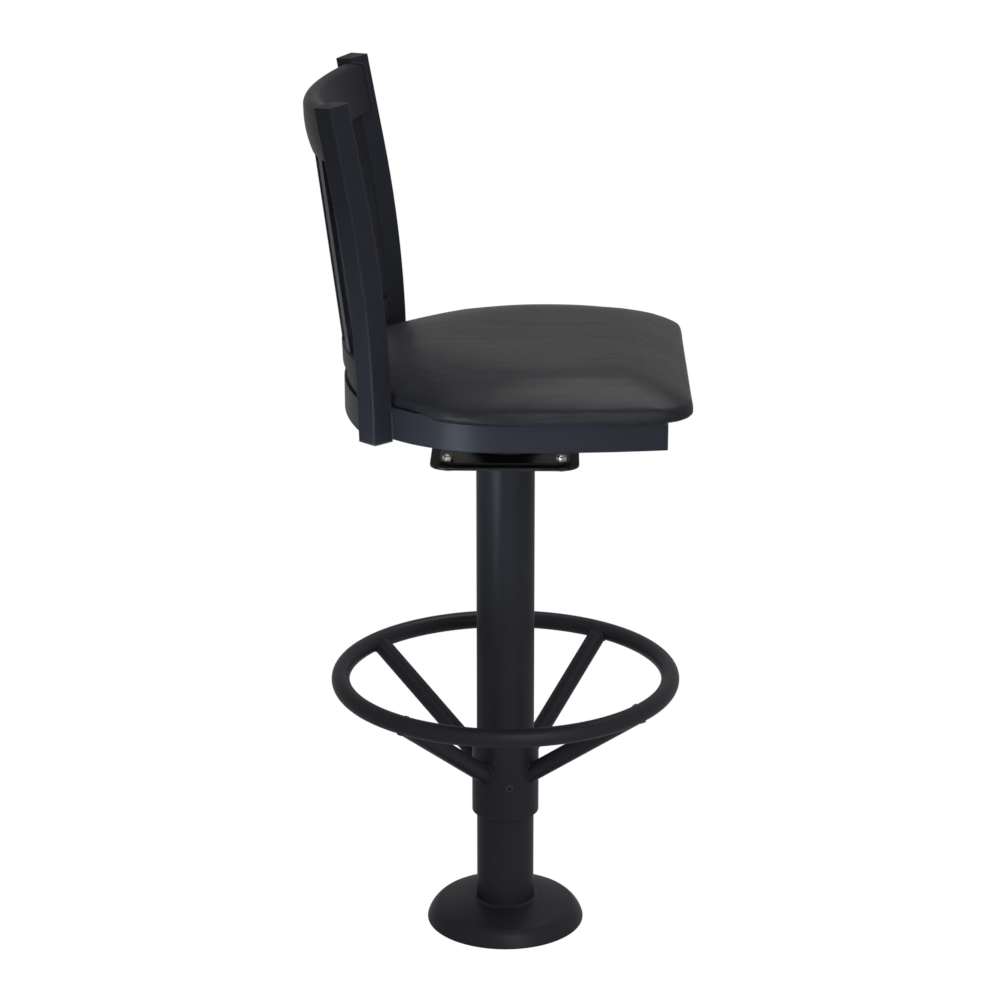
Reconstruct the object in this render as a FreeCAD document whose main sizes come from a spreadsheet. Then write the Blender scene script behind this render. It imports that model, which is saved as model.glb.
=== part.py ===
"""Swivel bar stool: a bolt-down pedestal with an adjustable foot ring and a slatted back.

Millimetres, +Z up. The origin is the centre of the floor flange's underside.
The sitter faces -Y, and the two back uprights stand at +X and -X.
"""
import FreeCAD, Part
import Sketcher
import math
import os

Vector = FreeCAD.Vector
doc = FreeCAD.newDocument("swivel_bar_stool")

# Driving dimensions
SIZES = [
    ("column_od", 76.2, "round pedestal tube"),
    ("column_wall", 3.0, "pedestal tube wall"),
    ("plate_top", 664.7, "height of the column's top plate"),
    ("plate_side", 189.5, "square top plate, across flats"),
    ("plate_thick", 4.0, "top plate"),
    ("plate_corner", 24.0, "top plate corner radius"),
    ("plate_bore", 56.0, "clearance hole over the tube for the spindle nut"),
    ("flange_od", 190.0, "round floor flange"),
    ("flange_thick", 6.4, "floor flange"),
    ("anchor_circle", 150.0, "pitch circle of the anchor holes"),
    ("anchor_hole", 12.0, "anchor hole diameter"),
    ("cover_od", 210.4, "spun floor cover, at the floor"),
    ("cover_height", 30.0, "floor cover without its neck"),
    ("cover_neck", 5.0, "upright neck round the column"),
    ("cover_sheet", 1.5, "floor cover metal"),
    ("cover_skirt", 22.0, "height where the steep skirt meets the dome"),
    ("cover_gap", 0.6, "air between neck and column"),
    ("ring_radius", 217.9, "foot ring, centre of the tube"),
    ("ring_height", 348.5, "foot ring above the floor"),
    ("ring_tube", 24.0, "foot ring and spoke tube"),
    ("ring_wall", 2.0, "foot ring tube wall"),
    ("sleeve_od", 88.9, "sliding sleeve"),
    ("sleeve_id", 77.9, "sliding sleeve bore"),
    ("sleeve_bottom", 157.0, "sleeve lower end above the floor"),
    ("sleeve_length", 106.0, "sleeve"),
    ("sleeve_ease", 1.2, "sleeve's eased lower edge"),
    ("spoke_foot", 221.0, "height where a spoke's axis meets the sleeve"),
    ("spoke_turn", 54.0, "plan angle of the first spoke, degrees"),
    ("screw_turn", 188.0, "plan angle of the first set screw, degrees"),
    ("screw_drop", 47.5, "set screw above the sleeve's lower end"),
    ("screw_size", 10.0, "set screw thread"),
    ("screw_socket", 5.0, "hexagon socket, across flats"),
    ("screw_tip", 0.3, "air between screw tip and column"),
    ("bolt_grid", 143.8, "swivel bolt spacing, both ways"),
    ("bolt_size", 8.0, "swivel and seat bolts"),
    ("bolt_flats", 12.7, "hexagon across flats"),
    ("bolt_head", 5.4, "hexagon head height"),
    ("nut_height", 6.2, "hexagon nut"),
    ("bolt_slack", 0.4, "radial clearance of the bolts in their holes"),
    ("bolt_end", 2.0, "bolt thread standing out of the nut"),
    ("swivel_side", 165.0, "pressed swivel plates, square"),
    ("swivel_sheet", 3.0, "pressed swivel plates"),
    ("hub_od", 70.0, "bearing housing"),
    ("hub_flange", 96.0, "bearing housing foot"),
    ("hub_foot", 6.0, "bearing housing foot thickness"),
    ("spindle_size", 25.4, "swivel spindle"),
    ("spindle_fit", 0.05, "radial running clearance of the spindle"),
    ("ball_size", 9.5, "bearing balls"),
    ("ball_circle", 50.0, "pitch circle of the balls"),
    ("ball_gap", 0.15, "air round each ball in its raceways"),
    ("cage_thick", 1.6, "ball cage"),
    ("cage_width", 14.0, "ball cage, radially"),
    ("race_width", 20.0, "upper race ring, radially"),
    ("race_top", 9.0, "upper race ring thickness"),
    ("lock_nut", 12.0, "spindle lock nut height"),
    ("lock_flats", 38.0, "spindle lock nut across flats"),
    ("lock_gap", 0.4, "air over the lock nut's washer"),
    ("rail_bottom", 727.4, "underside of the seat frame"),
    ("rail_height", 41.0, "seat frame rails"),
    ("rail_thick", 5.0, "seat frame rails"),
    ("front_y", 200.5, "front rail's outer face ahead of the axis"),
    ("side_half", 238.3, "half width of the frame at its widest"),
    ("front_taper", 16.3, "frame narrower by this at its front end, each side"),
    ("bar_width", 38.0, "cross bars"),
    ("bar_thick", 6.0, "cross bars"),
    ("tab_size", 58.0, "corner gussets"),
    ("tab_thick", 3.0, "corner gussets"),
    ("tube_side", 31.0, "square back uprights"),
    ("tube_wall", 2.0, "upright wall"),
    ("tube_corner", 3.0, "upright corner radius"),
    ("upright_inset", 55.3, "upright centre inside the frame's widest"),
    ("upright_y", 155.7, "upright centre behind the axis, at its foot"),
    ("upright_top", 1141.0, "upright top, at the tube's centre"),
    ("bend_start", 782.0, "height where the back starts to bend"),
    ("straight_run", 118.3, "height of the straight part at the uprights' tops"),
    ("lean_foot", 1.7, "backward lean below the bend, degrees"),
    ("lean_top", 10.3, "backward lean above the bend, degrees"),
    ("cap_thick", 2.0, "closing plate on each upright"),
    ("plug_head", 2.0, "foot plug flange"),
    ("plug_depth", 14.0, "foot plug inside the tube"),
    ("plug_gap", 0.3, "air between plug and tube"),
    ("back_radius", 410.0, "plan radius of the back's rails"),
    ("crest_drop", 47.0, "crest rail's middle below the uprights' tops"),
    ("crest_height", 68.0, "crest rail"),
    ("crest_thick", 25.0, "crest rail"),
    ("crest_bulge", 2.5, "swell of the crest rail's rear face"),
    ("crest_offset", -4.5, "crest line behind the uprights' centres"),
    ("low_bottom", 787.0, "underside of the lower back rail"),
    ("low_height", 33.0, "lower back rail"),
    ("low_thick", 17.0, "lower back rail"),
    ("low_offset", -2.0, "lower rail's line behind the uprights' centres"),
    ("rear_offset", 4.3, "rear rail's line behind the uprights' centres"),
    ("slat_width", 25.4, "back slats"),
    ("slat_thick", 6.35, "back slats"),
    ("slat_count", 4, "back slats"),
    ("slat_offset", 1.5, "slat line behind the uprights' centres"),
    ("slat_reach", 8.0, "slat blank inside each rail before coping"),
    ("board_thick", 12.0, "plywood seat board"),
    ("board_inset", 14.0, "board edge inside the cushion's edge"),
    ("cushion_gap", 0.3, "air between the cushion and what it lies on"),
    ("cushion_crown", 41.3, "top of the cushion above its base"),
    ("cushion_droop", 7.0, "cushion's lower edge below its base, outside the frame"),
    ("cushion_side", 11.0, "cushion beyond the side rails"),
    ("cushion_front", 32.5, "cushion beyond the front rail"),
    ("cushion_corner", 52.0, "cushion front corners"),
    ("cushion_tail", 50.0, "cushion rear corners"),
    ("rebate_gap", 2.0, "air between the cushion and the lower back rail"),
    ("cushion_clear", 3.0, "cushion to upright"),
    ("cushion_tuck", 9.0, "how far the lower edge draws in"),
    ("hip_turn", 17.0, "angle where the cushion leaves the hip's curve, degrees"),
    ("wood_screw", 5.0, "screws into the seat board"),
    ("screw_head", 9.5, "head of the screws into the seat board"),
]

sheet = doc.addObject("Spreadsheet::Sheet", "sizes")
for row, (alias, number, note) in enumerate(SIZES, 1):
    sheet.set(f"A{row}", note)
    sheet.set(f"B{row}", str(number))
    sheet.setAlias(f"B{row}", alias)
doc.recompute()
nodes = []


def size(text):
    """The value of an expression over the sheet, such as 'sizes.column_od / 2'."""
    found = sheet.evalExpression(text)
    return float(getattr(found, "Value", found))


class Sizes:
    """Reads a driving dimension as an attribute."""

    def __getattr__(self, alias):
        return size("sizes." + alias)


S = Sizes()


def new_body(label):
    body = doc.addObject("PartDesign::Body", label)
    body.Label = label
    nodes.append(body)
    return body


def origin_item(body, role):
    return next(item for item in body.Origin.OriginFeatures if item.Role == role)


def new_sketch(body, role, offset=None):
    """A sketch on one of the body's own origin planes, lifted by an expression."""
    sketch = body.newObject("Sketcher::SketchObject", body.Name + "_sketch")
    sketch.AttachmentSupport = [(origin_item(body, role), "")]
    sketch.MapMode = "FlatFace"
    if offset:
        sketch.setExpression(".AttachmentOffset.Base.z", offset)
    return sketch


def pin_point(sketch, edge, end, x_text, y_text):
    for kind, text in (("DistanceX", x_text), ("DistanceY", y_text)):
        index = sketch.addConstraint(Sketcher.Constraint(kind, -1, 1, edge, end, size(text)))
        sketch.setExpression(f"Constraints[{index}]", text)


def draw_circle(sketch, diameter, x_text="0", y_text="0"):
    circle = Part.Circle(Vector(size(x_text), size(y_text), 0), Vector(0, 0, 1), size(diameter) / 2)
    edge = sketch.addGeometry(circle)
    pin_point(sketch, edge, 3, x_text, y_text)
    index = sketch.addConstraint(Sketcher.Constraint("Diameter", edge, size(diameter)))
    sketch.setExpression(f"Constraints[{index}]", diameter)
    return edge


def arc_through(start, end, radius, side):
    """The minor arc from start to end, bulging to the left of the chord where side is 1."""
    chord = end - start
    normal = Vector(-chord.y, chord.x, 0).normalize() * side
    middle = (start + end) / 2
    rise = radius - math.sqrt(radius**2 - (chord.Length / 2) ** 2)
    return Part.Arc(start, middle + normal * rise, end)


def draw_outline(sketch, corners, arcs=None, closed=True):
    """Lines through the corners; arcs gives {corner number: (radius, side)} for curved runs."""
    arcs = arcs or {}
    points = [Vector(size(x), size(y), 0) for x, y in corners]
    runs = len(points) if closed else len(points) - 1
    ends = []
    for number in range(runs):
        start = points[number]
        end = points[(number + 1) % len(points)]
        if number in arcs:
            radius, side = arcs[number]
            edge = sketch.addGeometry(arc_through(start, end, size(radius), side))
            first, last = sketch.getPoint(edge, 1), sketch.getPoint(edge, 2)
            forward = first.distanceToPoint(start) < last.distanceToPoint(start)
            ends.append((edge, 1, 2) if forward else (edge, 2, 1))
            index = sketch.addConstraint(Sketcher.Constraint("Radius", edge, size(radius)))
            sketch.setExpression(f"Constraints[{index}]", radius)
        else:
            edge = sketch.addGeometry(Part.LineSegment(start, end))
            ends.append((edge, 1, 2))
    for number, (edge, first, last) in enumerate(ends):
        pin_point(sketch, edge, first, *corners[number])
        if number + 1 < runs or closed:
            following = ends[(number + 1) % runs]
            sketch.addConstraint(Sketcher.Constraint("Coincident", edge, last, following[0], following[1]))
        else:
            pin_point(sketch, edge, last, *corners[-1])


def draw_rounded_square(sketch, side, corner):
    """A square about the sketch's origin with rounded corners."""
    half = f"({side}) / 2"
    near = f"({side}) / 2 - ({corner})"
    corners = []
    arcs = {}
    for turn, (x_sign, y_sign) in enumerate(((1, 1), (-1, 1), (-1, -1), (1, -1))):
        across = (f"{x_sign} * ({half})", f"{y_sign} * ({near})")
        along = (f"{x_sign} * ({near})", f"{y_sign} * ({half})")
        corners += [across, along] if turn % 2 == 0 else [along, across]
        arcs[2 * turn] = (corner, -1)
    draw_outline(sketch, corners, arcs)


def draw_hexagon(sketch, flats, x_text="0", y_text="0"):
    reach = f"({flats}) / 2 / cos(30 deg)"
    corners = []
    for turn in range(0, 360, 60):
        x = f"({x_text}) + {reach} * cos({turn} deg)"
        corners.append((x, f"({y_text}) + {reach} * sin({turn} deg)"))
    draw_outline(sketch, corners)


def add_pad(body, sketch, length, both_ways=False):
    pad = body.newObject("PartDesign::Pad", body.Name + "_pad")
    pad.Profile = sketch
    pad.setExpression("Length", length)
    pad.Midplane = both_ways
    doc.recompute()
    return pad


def add_cut(body, sketch, length=None, reverse=True):
    """A pocket that must take material away; with no length it goes right through."""
    before = body.Shape.Volume
    pocket = body.newObject("PartDesign::Pocket", body.Name + "_pocket")
    pocket.Profile = sketch
    pocket.Reversed = reverse
    if length:
        pocket.setExpression("Length", length)
    else:
        pocket.Type = "ThroughAll"
        pocket.Midplane = True
    doc.recompute()
    if body.Shape.Volume >= before:
        raise ValueError(f"{body.Label}: the cut takes nothing away")
    return pocket


def add_revolution(body, sketch, axis="V_Axis", angle=None):
    revolution = body.newObject("PartDesign::Revolution", body.Name + "_revolution")
    revolution.Profile = sketch
    revolution.ReferenceAxis = (sketch, [axis])
    if angle:
        revolution.setExpression("Angle", angle)
        revolution.Midplane = True
    doc.recompute()
    return revolution


def add_groove(body, sketch, axis="V_Axis"):
    """A turned groove that must take material away."""
    before = body.Shape.Volume
    groove = body.newObject("PartDesign::Groove", body.Name + "_groove")
    groove.Profile = sketch
    groove.ReferenceAxis = (sketch, [axis])
    doc.recompute()
    if body.Shape.Volume >= before:
        raise ValueError(f"{body.Label}: the groove takes nothing away")
    return groove


def repeat_round(body, features, count=4):
    pattern = body.newObject("PartDesign::PolarPattern", body.Name + "_pattern")
    pattern.Originals = features
    pattern.Axis = (origin_item(body, "Z_Axis"), [""])
    pattern.Angle = 360
    pattern.Occurrences = count
    body.Tip = pattern
    doc.recompute()
    return pattern


def add_shape(label, shape, placement=None):
    """A sub-part whose form is built directly; its sizes come from the sheet."""
    item = doc.addObject("Part::Feature", label)
    item.Shape = shape
    item.Label = label
    item.Placement = placement or FreeCAD.Placement()
    nodes.append(item)
    return item


def plan_vector(radius, angle, height=0):
    turn = math.radians(angle)
    return Vector(radius * math.cos(turn), radius * math.sin(turn), height)


# Floor flange: a round plate with four anchor holes, welded under the column
flange = new_body("floor_flange")
sketch = new_sketch(flange, "XY_Plane")
draw_circle(sketch, "sizes.flange_od")
add_pad(flange, sketch, "sizes.flange_thick")
sketch = new_sketch(flange, "XY_Plane")
anchor_place = "sizes.anchor_circle / 2 / sqrt(2)"
draw_circle(sketch, "sizes.anchor_hole", anchor_place, anchor_place)
holes = add_cut(flange, sketch)
repeat_round(flange, [holes])

# Column: round tube between the flange and the top plate
column = new_body("column_tube")
sketch = new_sketch(column, "XY_Plane", "sizes.flange_thick")
draw_circle(sketch, "sizes.column_od")
draw_circle(sketch, "sizes.column_od - 2 * sizes.column_wall")
add_pad(column, sketch, "sizes.plate_top - sizes.plate_thick - sizes.flange_thick")

# Top plate: square with rounded corners, a bore for the spindle nut and four bolt holes
plate = new_body("column_top_plate")
plate_base = "sizes.plate_top - sizes.plate_thick"
sketch = new_sketch(plate, "XY_Plane", plate_base)
draw_rounded_square(sketch, "sizes.plate_side", "sizes.plate_corner")
draw_circle(sketch, "sizes.plate_bore")
add_pad(plate, sketch, "sizes.plate_thick")
sketch = new_sketch(plate, "XY_Plane", plate_base)
bolt_hole = "sizes.bolt_size + 2 * sizes.bolt_slack"
bolt_place = ("sizes.bolt_grid / 2", "sizes.bolt_grid / 2")
draw_circle(sketch, bolt_hole, *bolt_place)
holes = add_cut(plate, sketch)
repeat_round(plate, [holes])

# Floor cover: spun dome over the flange, with a steep skirt and a short neck round the column
cover = new_body("floor_cover")
sketch = new_sketch(cover, "XZ_Plane")
neck_in = "sizes.column_od / 2 + sizes.cover_gap"
neck_out = f"{neck_in} + sizes.cover_sheet"
skirt_in = "sizes.cover_od / 2 - 14"
draw_outline(
    sketch,
    [
        ("sizes.cover_od / 2", "0"),
        ("sizes.cover_od / 2", "sizes.cover_sheet"),
        (skirt_in, "sizes.cover_skirt"),
        (f"{neck_out} + 3", "sizes.cover_height"),
        (neck_out, "sizes.cover_height + 2"),
        (neck_out, "sizes.cover_height + sizes.cover_neck"),
        (neck_in, "sizes.cover_height + sizes.cover_neck"),
        (neck_in, "sizes.cover_height - sizes.cover_sheet"),
        (f"{skirt_in} - 1.2 * sizes.cover_sheet", "sizes.cover_skirt - sizes.cover_sheet"),
        ("sizes.cover_od / 2 - 1.6 * sizes.cover_sheet", "0"),
    ],
    {
        1: ("sizes.cover_skirt * 1.7", -1),
        2: ("sizes.cover_od", -1),
        7: ("sizes.cover_od", 1),
        8: ("sizes.cover_skirt * 1.7", 1),
    },
)
add_revolution(cover, sketch)

# Foot ring hoop: round tube bent into a closed circle
hoop = new_body("footring_hoop")
sketch = new_sketch(hoop, "XZ_Plane")
draw_circle(sketch, "sizes.ring_tube", "sizes.ring_radius", "sizes.ring_height")
draw_circle(sketch, "sizes.ring_tube - 2 * sizes.ring_wall", "sizes.ring_radius", "sizes.ring_height")
add_revolution(hoop, sketch)

# Sleeve: pipe that slides on the column, tapped for two set screws
sleeve = new_body("footring_sleeve")
sketch = new_sketch(sleeve, "XY_Plane", "sizes.sleeve_bottom")
draw_circle(sketch, "sizes.sleeve_od")
draw_circle(sketch, "sizes.sleeve_id")
add_pad(sleeve, sketch, "sizes.sleeve_length")
sketch = new_sketch(sleeve, "XZ_Plane")
ease = "(sizes.sleeve_od / 2 - sizes.sleeve_ease)"
draw_outline(
    sketch,
    [
        (ease, "sizes.sleeve_bottom"),
        ("sizes.sleeve_od / 2 + 1", "sizes.sleeve_bottom"),
        ("sizes.sleeve_od / 2 + 1", "sizes.sleeve_bottom + sizes.sleeve_ease"),
        ("sizes.sleeve_od / 2", "sizes.sleeve_bottom + sizes.sleeve_ease"),
    ],
    {3: ("sizes.sleeve_ease", -1)},
)
add_groove(sleeve, sketch)
sketch = new_sketch(sleeve, "XZ_Plane")
draw_circle(sketch, "sizes.screw_size", "0", "sizes.sleeve_bottom + sizes.screw_drop")
add_cut(sleeve, sketch)
sleeve.setExpression(".Placement.Rotation.Angle", "(sizes.screw_turn - 90) * 1 deg")

# Set screws: short, with a hexagon socket, through the sleeve on to the column
screws = new_body("footring_set_screws")
screw_tip = "sizes.column_od / 2 + sizes.screw_tip"
screw_end = "sizes.sleeve_od / 2 - 0.6"
screw_height = "sizes.sleeve_bottom + sizes.screw_drop"
sketch = new_sketch(screws, "YZ_Plane", screw_tip)
draw_circle(sketch, "sizes.screw_size - 0.1", "0", screw_height)
stud = add_pad(screws, sketch, f"{screw_end} - ({screw_tip})")
sketch = new_sketch(screws, "YZ_Plane", screw_end)
draw_hexagon(sketch, "sizes.screw_socket", "0", screw_height)
socket = add_cut(screws, sketch, f"({screw_end} - ({screw_tip})) * 0.6", reverse=False)
repeat_round(screws, [stud, socket], 2)
screws.setExpression(".Placement.Rotation.Angle", "sizes.screw_turn * 1 deg")


def make_spoke(number):
    """A straight round tube from the sleeve up to the hoop, its ends coped to both."""
    turn = S.spoke_turn + 90 * number
    foot = plan_vector(S.sleeve_od / 2, turn, S.spoke_foot)
    head = plan_vector(S.ring_radius, turn, S.ring_height)
    along = (head - foot).normalize()
    start = foot - along * S.ring_tube
    length = (head - start).Length
    tube = Part.makeCylinder(S.ring_tube / 2, length, start, along)
    tube = tube.cut(Part.makeCylinder(S.ring_tube / 2 - S.ring_wall, length, start, along))
    core = Part.makeCylinder(S.sleeve_od / 2, S.sleeve_length, Vector(0, 0, S.sleeve_bottom))
    rim = Part.makeTorus(S.ring_radius, S.ring_tube / 2, Vector(0, 0, S.ring_height))
    pieces = tube.cut([core, rim]).Solids
    return max(pieces, key=lambda piece: piece.Volume)


for number in range(4):
    add_shape(f"footring_spoke_{number + 1}", make_spoke(number))

# Swivel bolts: hexagon heads under the top plate, nuts on the swivel's lower plate
swivel_floor = "sizes.plate_top + sizes.swivel_sheet"
bolts = new_body("swivel_bolts")
sketch = new_sketch(bolts, "XY_Plane", f"{plate_base} - sizes.bolt_head")
draw_hexagon(sketch, "sizes.bolt_flats", *bolt_place)
head = add_pad(bolts, sketch, "sizes.bolt_head")
sketch = new_sketch(bolts, "XY_Plane", plate_base)
draw_circle(sketch, "sizes.bolt_size", *bolt_place)
beyond = "sizes.nut_height + sizes.bolt_end"
shank = add_pad(bolts, sketch, f"sizes.plate_thick + sizes.swivel_sheet + {beyond}")
repeat_round(bolts, [head, shank])

nuts = new_body("swivel_nuts")
sketch = new_sketch(nuts, "XY_Plane", swivel_floor)
draw_hexagon(sketch, "sizes.bolt_flats", *bolt_place)
draw_circle(sketch, "sizes.bolt_size", *bolt_place)
nut = add_pad(nuts, sketch, "sizes.nut_height")
repeat_round(nuts, [nut])

# Swivel lower plate: pressed square bolted to the column
lower = new_body("swivel_lower_plate")
sketch = new_sketch(lower, "XY_Plane", "sizes.plate_top")
draw_rounded_square(sketch, "sizes.swivel_side", "sizes.plate_corner - 8")
draw_circle(sketch, "sizes.plate_bore - 6")
add_pad(lower, sketch, "sizes.swivel_sheet")
sketch = new_sketch(lower, "XY_Plane", "sizes.plate_top")
draw_circle(sketch, bolt_hole, *bolt_place)
holes = add_cut(lower, sketch)
repeat_round(lower, [holes])

# Bearing stack: heights from the seat frame down
race_floor = "sizes.rail_bottom - sizes.swivel_sheet - sizes.race_top"
ball_show = "sizes.ball_size * 0.3"
ball_level = f"{race_floor} - {ball_show}"
hub_top = f"{ball_level} - {ball_show}"
groove = "sizes.ball_size / 2 + sizes.ball_gap"
groove_half = f"sqrt(({groove})^2 - ({ball_show})^2)"
bore = "sizes.spindle_size / 2 + sizes.spindle_fit"

# Bearing housing: turned hub with a foot, a ball groove on top and a bore for the spindle
hub = new_body("swivel_housing")
sketch = new_sketch(hub, "XZ_Plane")
groove_in = f"sizes.ball_circle / 2 - {groove_half}"
groove_out = f"sizes.ball_circle / 2 + {groove_half}"
draw_outline(
    sketch,
    [
        (bore, swivel_floor),
        ("sizes.hub_flange / 2", swivel_floor),
        ("sizes.hub_flange / 2", f"{swivel_floor} + sizes.hub_foot - 2"),
        ("sizes.hub_od / 2 + 4", f"{swivel_floor} + sizes.hub_foot"),
        ("sizes.hub_od / 2", f"{swivel_floor} + sizes.hub_foot + 6"),
        ("sizes.hub_od / 2", f"{hub_top} - 2"),
        ("sizes.hub_od / 2 - 2", hub_top),
        (groove_out, hub_top),
        (groove_in, hub_top),
        (bore, hub_top),
    ],
    {3: ("9", 1), 7: (groove, 1)},
)
add_revolution(hub, sketch)

# Balls: one ring of them, rolling between the housing and the upper race
ball_count = int(math.pi * S.ball_circle / (S.ball_size * 1.35))
ball_places = []
for number in range(ball_count):
    ball_places.append(plan_vector(S.ball_circle / 2, 360 * number / ball_count, size(ball_level)))
balls = [Part.makeSphere(S.ball_size / 2, place) for place in ball_places]
add_shape("swivel_balls", Part.makeCompound(balls))

# Ball cage: a thin ring with one pocket for each ball
cage_floor = Vector(0, 0, size(ball_level) - S.cage_thick / 2)
cage = Part.makeCylinder(S.ball_circle / 2 + S.cage_width / 2, S.cage_thick, cage_floor)
cage = cage.cut(Part.makeCylinder(S.ball_circle / 2 - S.cage_width / 2, S.cage_thick, cage_floor))
pocket_radius = S.ball_size / 2 + 2 * S.ball_gap
half_cage = Vector(0, 0, S.cage_thick / 2)
pockets = [Part.makeCylinder(pocket_radius, S.cage_thick, place - half_cage) for place in ball_places]
add_shape("swivel_cage", cage.cut(pockets))

# Upper race: ring under the upper plate, with the matching ball groove
race = new_body("swivel_race")
sketch = new_sketch(race, "XZ_Plane")
race_in = "sizes.ball_circle / 2 - sizes.race_width / 2"
race_out = "sizes.ball_circle / 2 + sizes.race_width / 2"
draw_outline(
    sketch,
    [
        (race_in, race_floor),
        (groove_in, race_floor),
        (groove_out, race_floor),
        (race_out, race_floor),
        (race_out, f"{race_floor} + sizes.race_top"),
        (race_in, f"{race_floor} + sizes.race_top"),
    ],
    {1: (groove, 1)},
)
add_revolution(race, sketch)

# Swivel upper plate: pressed square that carries the seat frame
upper = new_body("swivel_upper_plate")
upper_base = "sizes.rail_bottom - sizes.swivel_sheet"
sketch = new_sketch(upper, "XY_Plane", upper_base)
draw_rounded_square(sketch, "sizes.swivel_side", "sizes.plate_corner - 8")
draw_circle(sketch, "sizes.spindle_size")
add_pad(upper, sketch, "sizes.swivel_sheet")
sketch = new_sketch(upper, "XY_Plane", upper_base)
draw_circle(sketch, bolt_hole, *bolt_place)
holes = add_cut(upper, sketch)
repeat_round(upper, [holes])

# Spindle: shaft welded in the upper plate, down through the housing to its lock nut
spindle = new_body("swivel_spindle")
lock_top = f"{swivel_floor} - sizes.lock_gap"
spindle_end = f"{lock_top} - sizes.lock_nut - 3"
sketch = new_sketch(spindle, "XZ_Plane")
draw_outline(
    sketch,
    [
        ("0", spindle_end),
        ("sizes.spindle_size / 2 - 1.5", spindle_end),
        ("sizes.spindle_size / 2", f"{spindle_end} + 1.5"),
        ("sizes.spindle_size / 2", "sizes.rail_bottom"),
        ("0", "sizes.rail_bottom"),
    ],
)
add_revolution(spindle, sketch)

# Lock nut: holds the spindle down in the housing, inside the column's mouth
lock = new_body("swivel_lock_nut")
sketch = new_sketch(lock, "XY_Plane", f"{lock_top} - sizes.lock_nut")
draw_hexagon(sketch, "sizes.lock_flats")
draw_circle(sketch, "sizes.spindle_size")
add_pad(lock, sketch, "sizes.lock_nut")

# Seat bolts: heads under the upper plate, nuts on the cross bars
seat_bolts = new_body("seat_bolts")
sketch = new_sketch(seat_bolts, "XY_Plane", f"{upper_base} - sizes.bolt_head")
draw_hexagon(sketch, "sizes.bolt_flats", *bolt_place)
head = add_pad(seat_bolts, sketch, "sizes.bolt_head")
sketch = new_sketch(seat_bolts, "XY_Plane", upper_base)
draw_circle(sketch, "sizes.bolt_size", *bolt_place)
shank = add_pad(seat_bolts, sketch, f"sizes.swivel_sheet + sizes.bar_thick + {beyond}")
repeat_round(seat_bolts, [head, shank])

seat_nuts = new_body("seat_nuts")
sketch = new_sketch(seat_nuts, "XY_Plane", "sizes.rail_bottom + sizes.bar_thick")
draw_hexagon(sketch, "sizes.bolt_flats", *bolt_place)
draw_circle(sketch, "sizes.bolt_size", *bolt_place)
nut = add_pad(seat_nuts, sketch, "sizes.nut_height")
repeat_round(seat_nuts, [nut])

# Seat frame in plan: each side is a long flat curve, then a hip that turns 45 degrees and
# runs along the inner face of the upright, which stands corner outwards
tube_half = "sizes.tube_side / sqrt(2)"
upright_x = "(sizes.side_half - sizes.upright_inset)"
front_half = "(sizes.side_half - sizes.front_taper)"
face_line = f"({upright_x} + sizes.upright_y - {tube_half})"
hip = f"(({face_line} - sizes.side_half) / (sqrt(2) - 1))"
hip_x = f"(sizes.side_half - {hip})"
side_drop = "sizes.front_taper"
side = f"(({side_drop}^2 + sizes.front_y^2) / (2 * {side_drop}))"
side_x = f"(sizes.side_half - {side})"
rail_top = "(sizes.rail_bottom + sizes.rail_height)"


def make_side_rail(label, hand):
    """Bent flat bar from the front rail to the upright; hand is 1 for +X and -1 for -X."""
    body = new_body(label)
    sketch = new_sketch(body, "XY_Plane", "sizes.rail_bottom")
    corners = []
    for depth in ("0", "sizes.rail_thick"):
        front = "(sizes.rail_thick - sizes.front_y)"
        run = [
            (f"{side_x} + sqrt(({side} - {depth})^2 - {front}^2)", front),
            (f"sizes.side_half - {depth}", "0"),
            (f"{hip_x} + ({hip} - {depth}) / sqrt(2)", f"({hip} - {depth}) / sqrt(2)"),
            (f"{upright_x} - {tube_half} - {depth} / sqrt(2)", f"sizes.upright_y - {depth} / sqrt(2)"),
        ]
        corners += run if depth == "0" else run[::-1]
    corners = [(f"{hand} * ({x})", y) for x, y in corners]
    arcs = {
        0: (side, -hand),
        1: (hip, -hand),
        5: (f"{hip} - sizes.rail_thick", hand),
        6: (f"{side} - sizes.rail_thick", hand),
    }
    draw_outline(sketch, corners, arcs)
    add_pad(body, sketch, "sizes.rail_height")


make_side_rail("seat_rail_right", 1)
make_side_rail("seat_rail_left", -1)

# Front rail: flat bar closing the sides, with sharp upright corners
front_rail = new_body("seat_rail_front")
sketch = new_sketch(front_rail, "XY_Plane", "sizes.rail_bottom")
back_edge = "(sizes.rail_thick - sizes.front_y)"
back_half = f"({side_x} + sqrt({side}^2 - {back_edge}^2))"
draw_outline(
    sketch,
    [
        (f"-{front_half}", "-sizes.front_y"),
        (front_half, "-sizes.front_y"),
        (back_half, back_edge),
        (f"-{back_half}", back_edge),
    ],
)
add_pad(front_rail, sketch, "sizes.rail_height")

# The uprights' centre line: a slight lean, one long bend, then straight to the top
bend_y = "(sizes.upright_y + (sizes.bend_start - sizes.rail_bottom) * tan(sizes.lean_foot * 1 deg))"
foot_lean = "sizes.lean_foot * 1 deg"
top_lean = "sizes.lean_top * 1 deg"
straight_z = "(sizes.upright_top - sizes.straight_run)"
bend_radius = f"(({straight_z} - sizes.bend_start) / (sin({top_lean}) - sin({foot_lean})))"
straight_y = f"({bend_y} + {bend_radius} * (cos({foot_lean}) - cos({top_lean})))"
tube_top = "(sizes.upright_top - sizes.cap_thick * cos(sizes.lean_top * 1 deg))"
tube_top_y = f"({straight_y} + ({tube_top} - {straight_z}) * tan(sizes.lean_top * 1 deg))"


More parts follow.
